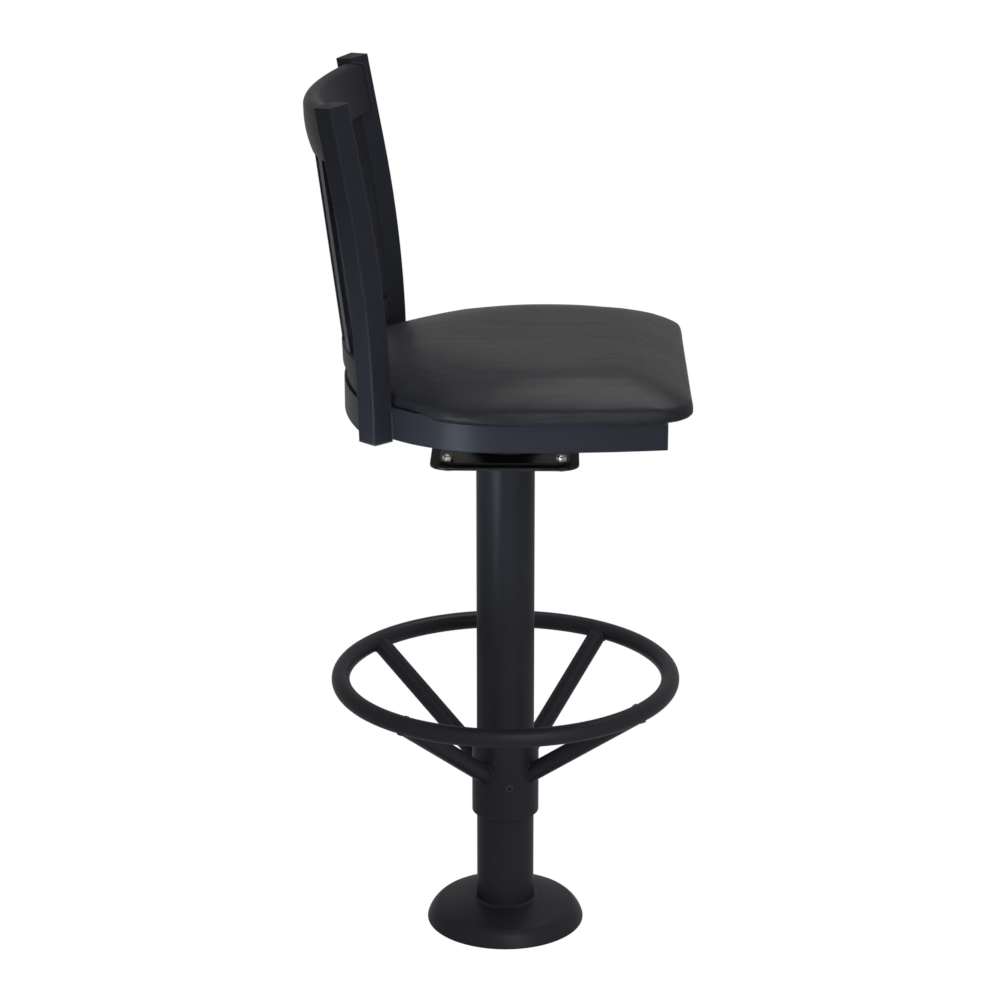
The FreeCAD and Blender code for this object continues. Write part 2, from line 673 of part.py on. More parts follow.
def make_upright(label, hand, hollow):
    """Square tube standing corner outwards, swept along the back's bend."""
    body = doc.addObject("PartDesign::Body", label)
    path = new_sketch(body, "YZ_Plane", f"{hand} * {upright_x}")
    draw_outline(
        path,
        [
            ("sizes.upright_y", "sizes.rail_bottom"),
            (bend_y, "sizes.bend_start"),
            (straight_y, straight_z),
            (tube_top_y, tube_top),
        ],
        {1: (bend_radius, 1)},
        closed=False,
    )
    section = new_sketch(body, "XY_Plane", "sizes.rail_bottom")
    section.setExpression(".AttachmentOffset.Base.x", f"{hand} * {upright_x}")
    section.setExpression(".AttachmentOffset.Base.y", "sizes.upright_y")
    section.setExpression(".AttachmentOffset.Rotation.Angle", "45 deg")
    draw_rounded_square(section, "sizes.tube_side", "sizes.tube_corner")
    if hollow:
        bore_side = "sizes.tube_side - 2 * sizes.tube_wall"
        draw_rounded_square(section, bore_side, "sizes.tube_corner - 0.8 * sizes.tube_wall")
    pipe = body.newObject("PartDesign::AdditivePipe", label + "_pipe")
    pipe.Profile = section
    pipe.Spine = path
    doc.recompute()
    if hollow:
        nodes.append(body)
    return body


uprights = [make_upright("upright_right", 1, True), make_upright("upright_left", -1, True)]
blanks = [make_upright("upright_form_right", 1, False), make_upright("upright_form_left", -1, False)]

# Closing plates: flat caps square to the leaning tubes
for name, hand in (("right", 1), ("left", -1)):
    cap = new_body("upright_cap_" + name)
    sketch = new_sketch(cap, "XY_Plane")
    draw_rounded_square(sketch, "sizes.tube_side", "sizes.tube_corner")
    add_pad(cap, sketch, "sizes.cap_thick")
    tilt = FreeCAD.Rotation(Vector(-1, 0, 0), S.lean_top - S.lean_foot)
    tube_end = Vector(hand * size(upright_x), size(tube_top_y), size(tube_top))
    cap.Placement = FreeCAD.Placement(tube_end, tilt * FreeCAD.Rotation(Vector(0, 0, 1), 45))


# Foot plugs: pressed into the uprights' open feet
for name, hand in (("right", 1), ("left", -1)):
    plug = new_body("upright_plug_" + name)
    sketch = new_sketch(plug, "XY_Plane")
    draw_rounded_square(sketch, "sizes.tube_side", "sizes.tube_corner")
    add_pad(plug, sketch, "sizes.plug_head")
    sketch = new_sketch(plug, "XY_Plane", "sizes.plug_head")
    plug_side = "sizes.tube_side - 2 * sizes.tube_wall - 4 * sizes.plug_gap"
    draw_rounded_square(sketch, plug_side, "sizes.tube_corner - sizes.tube_wall / 2")
    add_pad(plug, sketch, "sizes.plug_depth")
    foot = Vector(hand * size(upright_x), S.upright_y, S.rail_bottom - S.plug_head)
    plug.Placement = FreeCAD.Placement(foot, FreeCAD.Rotation(Vector(0, 0, 1), 45))


def combine(kind, label, base, tool, keep=True):
    """Cut or common of two objects of the document, as an object of its own."""
    item = doc.addObject("Part::" + kind, label)
    item.Base = base
    item.Tool = tool
    doc.recompute()
    if keep:
        nodes.append(item)
    return item


def fuse(label, items):
    item = doc.addObject("Part::MultiFuse", label)
    item.Shapes = items
    doc.recompute()
    return item


def new_form(label):
    """A body used only to shape others."""
    return doc.addObject("PartDesign::Body", label)


upright_forms = fuse("upright_forms", blanks)

# How far the back's plan curve lies behind the uprights' centres in the middle, for each rail
sagitta = f"(sizes.back_radius - sqrt(sizes.back_radius^2 - {upright_x}^2))"
crest_setback = f"({sagitta} + sizes.crest_offset)"
low_setback = f"({sagitta} + sizes.low_offset)"
rear_setback = f"({sagitta} + sizes.rear_offset)"
slat_setback = f"({sagitta} + sizes.slat_offset)"

# Rear rail: curved flat bar between the uprights
rear_form = new_form("rear_rail_form")
sketch = new_sketch(rear_form, "XY_Plane", "sizes.rail_bottom")
rear_middle = f"(sizes.upright_y + {rear_setback} - sizes.back_radius)"
sweep = f"asin(({upright_x} - 1.5 * sizes.tube_wall) / sizes.back_radius)"
rear_out = "(sizes.back_radius + sizes.rail_thick / 2)"
rear_in = "(sizes.back_radius - sizes.rail_thick / 2)"
rear_corners = []
for radius, hand in ((rear_out, 1), (rear_out, -1), (rear_in, -1), (rear_in, 1)):
    x = f"{hand} * {radius} * sin({sweep})"
    rear_corners.append((x, f"{rear_middle} + {radius} * cos({sweep})"))
draw_outline(sketch, rear_corners, {0: (rear_out, -1), 2: (rear_in, 1)})
add_pad(rear_form, sketch, "sizes.rail_height")
combine("Cut", "seat_rail_rear", rear_form, upright_forms)


def place_leaning(body, lean, middle_y, middle_z, setback):
    """Puts a body's axis at the centre of the back's plan curve, leaning as the uprights do."""
    body.Placement = FreeCAD.Placement(Vector(), FreeCAD.Rotation(Vector(-1, 0, 0), 5))
    body.setExpression(".Placement.Rotation.Angle", lean)
    back = f"({setback} - sizes.back_radius)"
    body.setExpression(".Placement.Base.y", f"{middle_y} + {back} * cos({lean})")
    body.setExpression(".Placement.Base.z", f"{middle_z} - {back} * sin({lean})")
    doc.recompute()


def rail_section(body, height, thick, corners, arcs):
    """Section of a back rail; corners give how far in and how far up, from the rail's middle."""
    sketch = new_sketch(body, "YZ_Plane")
    places = []
    for x, y, z in corners:
        places.append((f"sizes.back_radius + ({x}) * {thick}", f"({y}) * {height} + ({z})"))
    draw_outline(sketch, places, arcs)
    add_revolution(body, sketch, angle=f"2 * {sweep}")


# Crest rail: leans with the uprights, its rear face swelling and its top edge round
crest_form = new_form("crest_form")
top_round = "sizes.crest_thick / 2"
swell = "sizes.crest_bulge"
swell_run = f"(sizes.crest_height - 5 - {top_round})"
rail_section(
    crest_form,
    "sizes.crest_height",
    "sizes.crest_thick",
    [
        ("-0.5", "-0.5", "2.5"),
        ("-0.4", "-0.5", "0"),
        ("0.3", "-0.5", "0"),
        ("0.5", "-0.5", "5"),
        ("0.5", "0.5", f"-{top_round}"),
        ("0", "0.5", "0"),
        ("-0.5", "0.5", f"-{top_round}"),
    ],
    {
        0: ("2.5", -1),
        2: ("5", -1),
        3: (f"({swell_run}^2 / 8 / {swell} + {swell} / 2)", -1),
        4: (top_round, -1),
        5: (top_round, -1),
    },
)
crest_middle = "(sizes.upright_top - sizes.crest_drop)"
crest_z = f"({crest_middle} + {crest_setback} * sin({top_lean}))"
crest_y = f"({straight_y} + ({crest_z} - {straight_z}) * tan({top_lean}))"
place_leaning(crest_form, top_lean, crest_y, crest_z, crest_setback)
crest = combine("Cut", "crest_rail", crest_form, upright_forms)

# Lower back rail: slimmer, just over the rear of the cushion
low_form = new_form("low_form")
edge = "sizes.low_thick * 0.25"
rail_section(
    low_form,
    "sizes.low_height",
    "sizes.low_thick",
    [
        ("-0.25", "-0.5", "0"),
        ("0.25", "-0.5", "0"),
        ("0.5", "-0.5", edge),
        ("0.5", "0.5", f"-{edge}"),
        ("0.25", "0.5", "0"),
        ("-0.25", "0.5", "0"),
        ("-0.5", "0.5", f"-{edge}"),
        ("-0.5", "-0.5", edge),
    ],
    {1: (edge, -1), 3: (edge, -1), 5: (edge, -1), 7: (edge, -1)},
)
low_z = "(sizes.low_bottom + sizes.low_height / 2)"
low_rise = f"({low_z} - sizes.bend_start + {bend_radius} * sin({foot_lean}))"
low_lean = f"asin({low_rise} / {bend_radius})"
low_y = f"({bend_y} + {bend_radius} * (cos({foot_lean}) - cos({low_lean})))"
low_drop = f"{low_setback} * sin({low_lean})"
place_leaning(low_form, low_lean, low_y, f"({low_z} + {low_drop})", low_setback)
low_rail = combine("Cut", "lower_back_rail", low_form, upright_forms)
back_rails = fuse("back_rails_form", [crest_form, low_form])

# Slats: flat bars that follow the uprights' bend, turned to the plan curve, coped to both rails
span = f"(2 * ({upright_x} - {tube_half}))"
pitch = f"(({span} - sizes.slat_count * sizes.slat_width) / (sizes.slat_count + 1) + sizes.slat_width)"
slat_foot = "(sizes.low_bottom + sizes.low_height - sizes.slat_reach)"


def make_slat(number):
    slat = new_form(f"slat_form_{number + 1}")
    x = f"(({number} - (sizes.slat_count - 1) / 2) * {pitch})"
    sag = f"(sizes.back_radius - sqrt(sizes.back_radius^2 - {x}^2))"
    back = f"({slat_setback} - {sag})"
    radius = f"({bend_radius} - {back})"
    foot_rise = f"({slat_foot} - sizes.bend_start + {bend_radius} * sin({foot_lean}))"
    foot_y = f"({bend_y} + {bend_radius} * cos({foot_lean}) - sqrt({radius}^2 - {foot_rise}^2))"
    bent_y = f"({straight_y} + {back} * cos({top_lean}))"
    bent_z = f"({straight_z} - {back} * sin({top_lean}))"
    crest_under = f"({crest_middle} - sizes.crest_height / 2 + sizes.slat_reach)"
    rise = f"({crest_under} + {sag} * sin({top_lean}) - {bent_z})"
    head = (f"{bent_y} + {rise} * tan({top_lean})", f"{bent_z} + {rise}")
    path = new_sketch(slat, "YZ_Plane", x)
    draw_outline(path, [(foot_y, slat_foot), head], closed=False)
    section = new_sketch(slat, "XY_Plane", slat_foot)
    section.setExpression(".AttachmentOffset.Base.x", x)
    section.setExpression(".AttachmentOffset.Base.y", foot_y)
    section.setExpression(".AttachmentOffset.Rotation.Angle", f"-asin({x} / sizes.back_radius)")
    half = ("sizes.slat_width / 2", "sizes.slat_thick / 2")
    signs = ((1, 1), (-1, 1), (-1, -1), (1, -1))
    corners = [(f"{a} * {half[0]}", f"{b} * {half[1]}") for a, b in signs]
    draw_outline(section, corners)
    pipe = slat.newObject("PartDesign::AdditivePipe", slat.Name + "_pipe")
    pipe.Profile = section
    pipe.Spine = path
    doc.recompute()
    return combine("Cut", f"back_slat_{number + 1}", slat, back_rails)


for number in range(int(S.slat_count)):
    make_slat(number)

# Inside of the seat frame, to which the cross bars and gussets are trimmed
inside = new_form("frame_inside_form")
sketch = new_sketch(inside, "XY_Plane", "sizes.rail_bottom")
thick = "sizes.rail_thick"
inner_front = f"({thick} - sizes.front_y)"
half_line = [
    (f"({side_x} + sqrt(({side} - {thick})^2 - {inner_front}^2))", inner_front),
    (f"(sizes.side_half - {thick})", "0"),
    (f"({hip_x} + ({hip} - {thick}) / sqrt(2))", f"({hip} - {thick}) / sqrt(2)"),
    (f"({upright_x} - {tube_half} - {thick} / sqrt(2))", f"sizes.upright_y - {thick} / sqrt(2)"),
]
outline = half_line + [(f"-{x}", y) for x, y in half_line[::-1]]
inner_side = (f"{side} - {thick}", -1)
inner_hip = (f"{hip} - {thick}", -1)
draw_outline(sketch, outline, {0: inner_side, 1: inner_hip, 5: inner_hip, 6: inner_side})
add_pad(inside, sketch, "sizes.rail_height")

# Cross bars: flat bars across the frame, bolted to the swivel's upper plate
for name, sign in (("front", -1), ("rear", 1)):
    form = new_form(f"cross_bar_{name}_form")
    sketch = new_sketch(form, "XY_Plane", "sizes.rail_bottom")
    near = f"{sign} * sizes.bolt_grid / 2 - sizes.bar_width / 2"
    far = f"{sign} * sizes.bolt_grid / 2 + sizes.bar_width / 2"
    reach = "sizes.side_half"
    draw_outline(sketch, [(f"-{reach}", near), (reach, near), (reach, far), (f"-{reach}", far)])
    add_pad(form, sketch, "sizes.bar_thick")
    sketch = new_sketch(form, "XY_Plane", "sizes.rail_bottom")
    for hand in (1, -1):
        draw_circle(sketch, bolt_hole, f"{hand} * sizes.bolt_grid / 2", f"{sign} * sizes.bolt_grid / 2")
    add_cut(form, sketch)
    combine("Common", f"cross_bar_{name}", form, inside)

# Corner gussets: thin plates level with the rails' top, each with a hole for a screw
gusset_base = f"{rail_top} - sizes.tab_thick"
gusset_places = {}
hip_line = f"({hip} - {thick} - sizes.tab_size * 0.4)"
shift = "sizes.tab_size * 0.3"
front_spot = (f"({half_line[0][0]} - {shift})", f"({inner_front} + {shift})")
rear_spot = (f"({hip_x} + {hip_line} / sqrt(2))", f"({hip_line} / sqrt(2))")


def make_gusset(label, corners, spot):
    form = new_form(label + "_form")
    sketch = new_sketch(form, "XY_Plane", gusset_base)
    draw_outline(sketch, corners)
    draw_circle(sketch, "sizes.wood_screw + 1", *spot)
    add_pad(form, sketch, "sizes.tab_thick")
    combine("Common", label, form, inside)
    gusset_places[label] = spot


for name, hand in (("right", 1), ("left", -1)):
    x, y = half_line[0]
    corner = (f"{hand} * ({x} + 9)", y)
    along = (f"{hand} * ({x} - sizes.tab_size)", y)
    up = (f"{hand} * ({x} + 9)", f"{y} + sizes.tab_size + 9")
    make_gusset(f"gusset_front_{name}", [along, corner, up], (f"{hand} * {front_spot[0]}", front_spot[1]))
    corners = []
    for reach, across in ((0, -0.5), (0, 0.5), (1.5, 0.5), (1.5, -0.5)):
        out = f"({hip} - sizes.tab_size * {0.7 - reach})"
        shift = f"sizes.tab_size * {across}"
        x = f"{hand} * ({hip_x} + ({out} - {shift}) / sqrt(2))"
        corners.append((x, f"({out} + {shift}) / sqrt(2)"))
    make_gusset(f"gusset_rear_{name}", corners, (f"{hand} * {rear_spot[0]}", rear_spot[1]))


def cushion_outline(inset):
    """Plan outline of the seat pad, drawn in by an inset: straight front with round corners,
    sides parallel to the rails, flats beside the uprights and a curved rear."""
    over = f"(sizes.cushion_side - {inset})"
    side_r = f"({side} + {over})"
    hip_r = f"({hip} + {over})"
    front = f"({inset} - sizes.front_y - sizes.cushion_front)"
    corner = f"(sizes.cushion_corner - 0.35 * {inset})"
    corner_y = f"({front} + {corner})"
    corner_x = f"({side_x} + sqrt(({side_r} - {corner})^2 - {corner_y}^2))"
    stretch = f"({side_r} / ({side_r} - {corner}))"
    line = f"({face_line} - sqrt(2) * (sizes.cushion_clear + {inset}))"
    turn = "sizes.hip_turn * 1 deg"
    both = f"(cos({turn}) + sin({turn}))"
    bend = f"(({line} - {hip_x} - {hip_r} * {both}) / (sqrt(2) - {both}))"
    bend_mid = (f"({hip_x} + ({hip_r} - {bend}) * cos({turn}))", f"(({hip_r} - {bend}) * sin({turn}))")
    rear = f"(sizes.back_radius - {inset})"
    rear_y = rear_middle
    tail = f"(sizes.cushion_tail - 0.4 * {inset})"
    run = f"({line} - sqrt(2) * {tail} - {rear_y})"
    reach = f"({rear} - {tail})"
    tail_x = f"(({run} - sqrt(2 * {reach}^2 - {run}^2)) / 2)"
    tail_y = f"({run} - {tail_x})"
    right = [
        (corner_x, front),
        (f"({side_x} + ({corner_x} - {side_x}) * {stretch})", f"{corner_y} * {stretch}"),
        (f"({side_x} + {side_r})", "0"),
        (f"({hip_x} + {hip_r} * cos({turn}))", f"{hip_r} * sin({turn})"),
        (f"({bend_mid[0]} + {bend} / sqrt(2))", f"{bend_mid[1]} + {bend} / sqrt(2)"),
        (f"({tail_x} + {tail} / sqrt(2))", f"{rear_y} + {tail_y} + {tail} / sqrt(2)"),
        (f"({tail_x} * {rear} / {reach})", f"{rear_y} + {tail_y} * {rear} / {reach}"),
    ]
    left = [(f"-{x}", y) for x, y in right[::-1]]
    arcs = {6: (rear, -1)}
    for number, radius in enumerate((corner, side_r, hip_r, bend, None, tail)):
        if radius:
            arcs[number] = arcs[12 - number] = (radius, -1)
    return right + left, arcs


# Seat board: plywood, let into the underside of the cushion
board = new_body("seat_board")
sketch = new_sketch(board, "XY_Plane", rail_top)
draw_outline(sketch, *cushion_outline("sizes.board_inset"))
add_pad(board, sketch, "sizes.board_thick")
sketch = new_sketch(board, "XY_Plane", rail_top)
for spot in gusset_places.values():
    draw_circle(sketch, "sizes.wood_screw", *spot)
add_cut(board, sketch, "sizes.board_thick - 2", reverse=True)

# Board screws: round heads under the gussets
screw_set = new_body("board_screws")
sketch = new_sketch(screw_set, "XY_Plane", f"{gusset_base} - 3")
for spot in gusset_places.values():
    draw_circle(sketch, "sizes.screw_head", *spot)
add_pad(screw_set, sketch, "3")
sketch = new_sketch(screw_set, "XY_Plane", gusset_base)
for spot in gusset_places.values():
    draw_circle(sketch, "sizes.wood_screw", *spot)
add_pad(screw_set, sketch, "sizes.tab_thick + sizes.board_thick - 3")

# Cushion: domed, with a rolled lower edge that droops outside the frame, hollowed for the
# board, stepped up over the frame and down where it passes under the lower back rail
cushion = new_body("seat_cushion")
cushion_base = f"({rail_top} + sizes.cushion_gap)"
profiles = {
    "roll": (
        (0.55, "-sizes.cushion_droop"),
        (0.1, "-0.25 * sizes.cushion_droop"),
        (0.0, "0.13 * sizes.cushion_crown"),
        (0.2, "0.29 * sizes.cushion_crown"),
        (0.75, "0.43 * sizes.cushion_crown"),
        (1.6, "0.528 * sizes.cushion_crown"),
    ),
    "dome": (
        (1.6, "0.528 * sizes.cushion_crown"),
        (3.4, "0.69 * sizes.cushion_crown"),
        (5.2, "0.82 * sizes.cushion_crown"),
        (7.0, "0.925 * sizes.cushion_crown"),
        (8.9, "sizes.cushion_crown"),
    ),
}
for name, profile in profiles.items():
    layers = []
    for inset, level in profile:
        layer = new_sketch(cushion, "XY_Plane", f"{cushion_base} + {level}")
        draw_outline(layer, *cushion_outline(f"(sizes.cushion_tuck * {inset})"))
        layers.append(layer)
    loft = cushion.newObject("PartDesign::AdditiveLoft", f"cushion_{name}")
    loft.Profile = layers[0]
    loft.Sections = layers[1:]
    loft.Ruled = False
    loft.Closed = False
    doc.recompute()
droop_base = f"({cushion_base} - sizes.cushion_droop - 2)"
sketch = new_sketch(cushion, "XY_Plane", droop_base)
draw_outline(sketch, *cushion_outline("(sizes.board_inset - sizes.cushion_gap)"))
add_cut(cushion, sketch, f"sizes.board_thick + {cushion_base} - {droop_base}")
sketch = new_sketch(cushion, "XY_Plane", droop_base)
clear = "(2 * sizes.cushion_gap)"
run_on = "3.2 * sizes.tube_side"
frame_front = f"(sizes.front_y + {clear})"
frame_front_x = f"({side_x} + sqrt(({side} + {clear})^2 - {frame_front}^2))"
frame_right = [
    (frame_front_x, f"-{frame_front}"),
    (f"sizes.side_half + {clear}", "0"),
    (f"{hip_x} + ({hip} + {clear}) / sqrt(2)", f"({hip} + {clear}) / sqrt(2)"),
    (f"({hip_x} + ({hip} + {clear}) / sqrt(2) - {run_on})", f"(({hip} + {clear}) / sqrt(2) + {run_on})"),
]
frame_left = [(f"-({x})", y) for x, y in frame_right[::-1]]
frame_side = (f"{side} + {clear}", -1)
frame_hip = (f"{hip} + {clear}", -1)
draw_outline(sketch, frame_right + frame_left, {0: frame_side, 1: frame_hip, 5: frame_hip, 6: frame_side})
add_cut(cushion, sketch, f"{cushion_base} - {droop_base}")
rebate = f"(sizes.back_radius - sizes.low_thick / 2 - 3 * sizes.cushion_gap)"
rebate_y = f"({low_y} + {low_setback} - sizes.back_radius)"
sketch = new_sketch(cushion, "XY_Plane", "sizes.low_bottom - sizes.rebate_gap")
draw_outline(
    sketch,
    [
        (f"{rebate} * sin({sweep})", f"{rebate_y} + {rebate} * cos({sweep})"),
        (f"{rebate} * sin({sweep})", f"{rebate_y} + {rebate} + 2 * sizes.tube_side"),
        (f"-{rebate} * sin({sweep})", f"{rebate_y} + {rebate} + 2 * sizes.tube_side"),
        (f"-{rebate} * sin({sweep})", f"{rebate_y} + {rebate} * cos({sweep})"),
    ],
    {3: (rebate, 1)},
)
add_cut(cushion, sketch, "sizes.cushion_crown")

# Checks, then one file for each sub-part
for item in doc.Objects:
    faults = [word for word in item.State if word in ("Invalid", "Error")]
    if faults:
        raise ValueError(f"{item.Label}: {faults}")
os.makedirs("parts", exist_ok=True)
for item in nodes:
    if item.Shape.isNull() or not item.Shape.isValid():
        raise ValueError(f"{item.Label}: its shape is not valid")
    item.Shape.exportStep(f"parts/{item.Label}.step")
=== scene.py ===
"""Looks of the swivel bar stool: finishes, welds, upholstery and the photograph's view."""

import math

import bmesh
import bpy
from mathutils import Matrix, Vector


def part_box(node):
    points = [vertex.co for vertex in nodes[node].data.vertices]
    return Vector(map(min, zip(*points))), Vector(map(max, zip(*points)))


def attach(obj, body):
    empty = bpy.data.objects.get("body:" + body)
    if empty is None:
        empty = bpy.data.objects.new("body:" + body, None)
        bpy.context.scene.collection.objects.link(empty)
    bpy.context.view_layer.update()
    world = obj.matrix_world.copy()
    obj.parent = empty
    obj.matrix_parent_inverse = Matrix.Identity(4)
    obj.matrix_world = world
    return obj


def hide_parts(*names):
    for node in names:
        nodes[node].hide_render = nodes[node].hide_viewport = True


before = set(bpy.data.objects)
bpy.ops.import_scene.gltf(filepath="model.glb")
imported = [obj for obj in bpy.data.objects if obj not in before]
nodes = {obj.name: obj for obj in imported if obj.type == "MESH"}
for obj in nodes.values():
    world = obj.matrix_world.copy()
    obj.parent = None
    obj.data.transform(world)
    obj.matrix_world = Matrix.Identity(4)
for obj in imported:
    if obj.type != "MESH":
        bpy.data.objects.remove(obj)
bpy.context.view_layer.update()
scene = bpy.context.scene
scene.view_settings.view_transform = "Standard"


# Studio: a pale floor and white surroundings, a soft key and a fill on the camera's side, a
# lamp overhead and a small bluish one low down. A long lens looks down on the stool's side.
def soft_lamp(name, place, aim, width, height, power, colour=(1.0, 1.0, 1.0)):
    data = bpy.data.lights.new(name, "AREA")
    data.color = colour
    data.shape = "RECTANGLE"
    data.size = width
    data.size_y = height
    data.energy = power
    lamp = bpy.data.objects.new(name, data)
    lamp.location = place
    lamp.rotation_euler = (Vector(aim) - Vector(place)).to_track_quat("-Z", "Y").to_euler()
    scene.collection.objects.link(lamp)
    return lamp


soft_lamp(
    "key_lamp",
    place=(-2.6, -0.8, 2.6),
    aim=(0.0, 0.0, 0.6),
    width=1.6,
    height=1.2,
    power=50,
)
soft_lamp(
    "camera_fill",
    place=(-3.2, -1.1, 0.9),
    aim=(0.0, 0.0, 0.5),
    width=1.8,
    height=1.2,
    power=34,
)
soft_lamp(
    "over_lamp",
    place=(1.0, -0.5, 3.2),
    aim=(0.0, 0.0, 0.8),
    width=1.3,
    height=1.3,
    power=64,
)
low_strip = soft_lamp(
    "low_strip",
    place=(-1.75, 1.15, 0.2),
    aim=(-0.22, 0.06, 0.75),
    width=0.45,
    height=0.3,
    power=0.7,
    colour=(0.75, 0.88, 1.0),
)
low_strip.data.spread = math.radians(16.0)

CAMERA_BACK = 3.609
CAMERA_SIDE = 0.0072
CAMERA_UP = 1.7489
CAMERA_PITCH = 17.81
CAMERA_TURN = math.radians(1.11)
SENSOR_WIDTH = 36.0
FOCAL_PIXELS = 2918.9
PHOTO_PIXELS = 1000.0
camera_data = bpy.data.cameras.new("photo_camera")
camera_data.sensor_width = SENSOR_WIDTH
camera_data.lens = FOCAL_PIXELS * SENSOR_WIDTH / PHOTO_PIXELS
camera_data.shift_y = 0.002
camera_data.clip_end = 50.0
camera = bpy.data.objects.new("photo_camera", camera_data)
camera_place = Vector((-CAMERA_BACK, CAMERA_SIDE, CAMERA_UP))
camera.location = Matrix.Rotation(CAMERA_TURN, 3, "Z") @ camera_place
camera.rotation_euler = (math.radians(90.0 - CAMERA_PITCH), 0.0, CAMERA_TURN - math.radians(90.0))
scene.collection.objects.link(camera)
scene.camera = camera


def rays_that_see(tree, kinds):
    """A mask of 1 for the named kinds of ray and 0 for the others."""
    path = tree.nodes.new("ShaderNodeLightPath")
    mask = path.outputs[kinds[0]]
    for kind in kinds[1:]:
        either = tree.nodes.new("ShaderNodeMath")
        either.operation = "MAXIMUM"
        tree.links.new(mask, either.inputs[0])
        tree.links.new(path.outputs[kind], either.inputs[1])
        mask = either.outputs[0]
    return mask


def mixed(tree, mask, hidden, shown):
    """One shader for the rays of the mask, the other for the rest."""
    choose = tree.nodes.new("ShaderNodeMixShader")
    tree.links.new(mask, choose.inputs["Fac"])
    tree.links.new(hidden.outputs[0], choose.inputs[1])
    tree.links.new(shown.outputs[0], choose.inputs[2])
    return choose.outputs[0]


world = bpy.data.worlds.new("studio_world")
scene.world = world
world.use_nodes = True
tree = world.node_tree
tree.nodes.clear()
room = tree.nodes.new("ShaderNodeBackground")
room.inputs["Color"].default_value = (0.9, 0.95, 1.0, 1.0)
room.inputs["Strength"].default_value = 0.14
backdrop = tree.nodes.new("ShaderNodeBackground")
backdrop.inputs["Color"].default_value = (1.0, 1.0, 1.0, 1.0)
backdrop.inputs["Strength"].default_value = 1.0
seen = rays_that_see(tree, ("Is Camera Ray", "Is Glossy Ray", "Is Transmission Ray"))
world_out = tree.nodes.new("ShaderNodeOutputWorld")
tree.links.new(mixed(tree, seen, room, backdrop), world_out.inputs["Surface"])

FLOOR_REACH = 12.0
floor_mesh = bmesh.new()
bmesh.ops.create_grid(floor_mesh, x_segments=1, y_segments=1, size=FLOOR_REACH)
floor_data = bpy.data.meshes.new("studio_floor")
floor_mesh.to_mesh(floor_data)
floor_mesh.free()
floor = bpy.data.objects.new("studio_floor", floor_data)
scene.collection.objects.link(floor)
floor_paint = bpy.data.materials.new("studio_floor")
floor_paint.use_nodes = True
tree = floor_paint.node_tree
tree.nodes.clear()
matt = tree.nodes.new("ShaderNodeBsdfDiffuse")
matt.inputs["Color"].default_value = (0.8, 0.8, 0.8, 1.0)
glow = tree.nodes.new("ShaderNodeEmission")
glow.inputs["Color"].default_value = (1.0, 1.0, 1.0, 1.0)
glow.inputs["Strength"].default_value = 1.0
seen = rays_that_see(tree, ("Is Camera Ray", "Is Glossy Ray"))
floor_out = tree.nodes.new("ShaderNodeOutputMaterial")
tree.links.new(mixed(tree, seen, matt, glow), floor_out.inputs["Surface"])
floor_data.materials.append(floor_paint)


# Pedestal: a round tube welded between a floor flange and a square top plate with eased edges,
# powder coated in one piece. The coat is baked black polyester with a faint blue cast, a fine
# orange peel and small changes of gloss, which the shared grain group gives.
def make_coat_grain():
    group = bpy.data.node_groups.new("coat_grain", "ShaderNodeTree")
    for name, start in (
        ("Peel Scale", 900.0),
        ("Cloud Scale", 9.0),
        ("Gloss", 0.45),
        ("Gloss Change", 0.08),
    ):
        socket = group.interface.new_socket(name, in_out="INPUT", socket_type="NodeSocketFloat")
        socket.default_value = start
    for name in ("Height", "Roughness", "Cloud"):
        group.interface.new_socket(name, in_out="OUTPUT", socket_type="NodeSocketFloat")
    entry = group.nodes.new("NodeGroupInput")
    leave = group.nodes.new("NodeGroupOutput")
    place = group.nodes.new("ShaderNodeTexCoord")
    peel = group.nodes.new("ShaderNodeTexNoise")
    peel.inputs["Detail"].default_value = 2.0
    peel.inputs["Roughness"].default_value = 0.6
    group.links.new(place.outputs["Object"], peel.inputs["Vector"])
    group.links.new(entry.outputs["Peel Scale"], peel.inputs["Scale"])
    group.links.new(peel.outputs["Fac"], leave.inputs["Height"])
    cloud = group.nodes.new("ShaderNodeTexNoise")
    cloud.inputs["Detail"].default_value = 4.0
    group.links.new(place.outputs["Object"], cloud.inputs["Vector"])
    group.links.new(entry.outputs["Cloud Scale"], cloud.inputs["Scale"])
    group.links.new(cloud.outputs["Fac"], leave.inputs["Cloud"])
    swing = group.nodes.new("ShaderNodeMath")
    swing.operation = "MULTIPLY_ADD"
    group.links.new(cloud.outputs["Fac"], swing.inputs[0])
    group.links.new(entry.outputs["Gloss Change"], swing.inputs[1])
    group.links.new(entry.outputs["Gloss"], swing.inputs[2])
    group.links.new(swing.outputs[0], leave.inputs["Roughness"])
    return group


coat_grain = make_coat_grain()


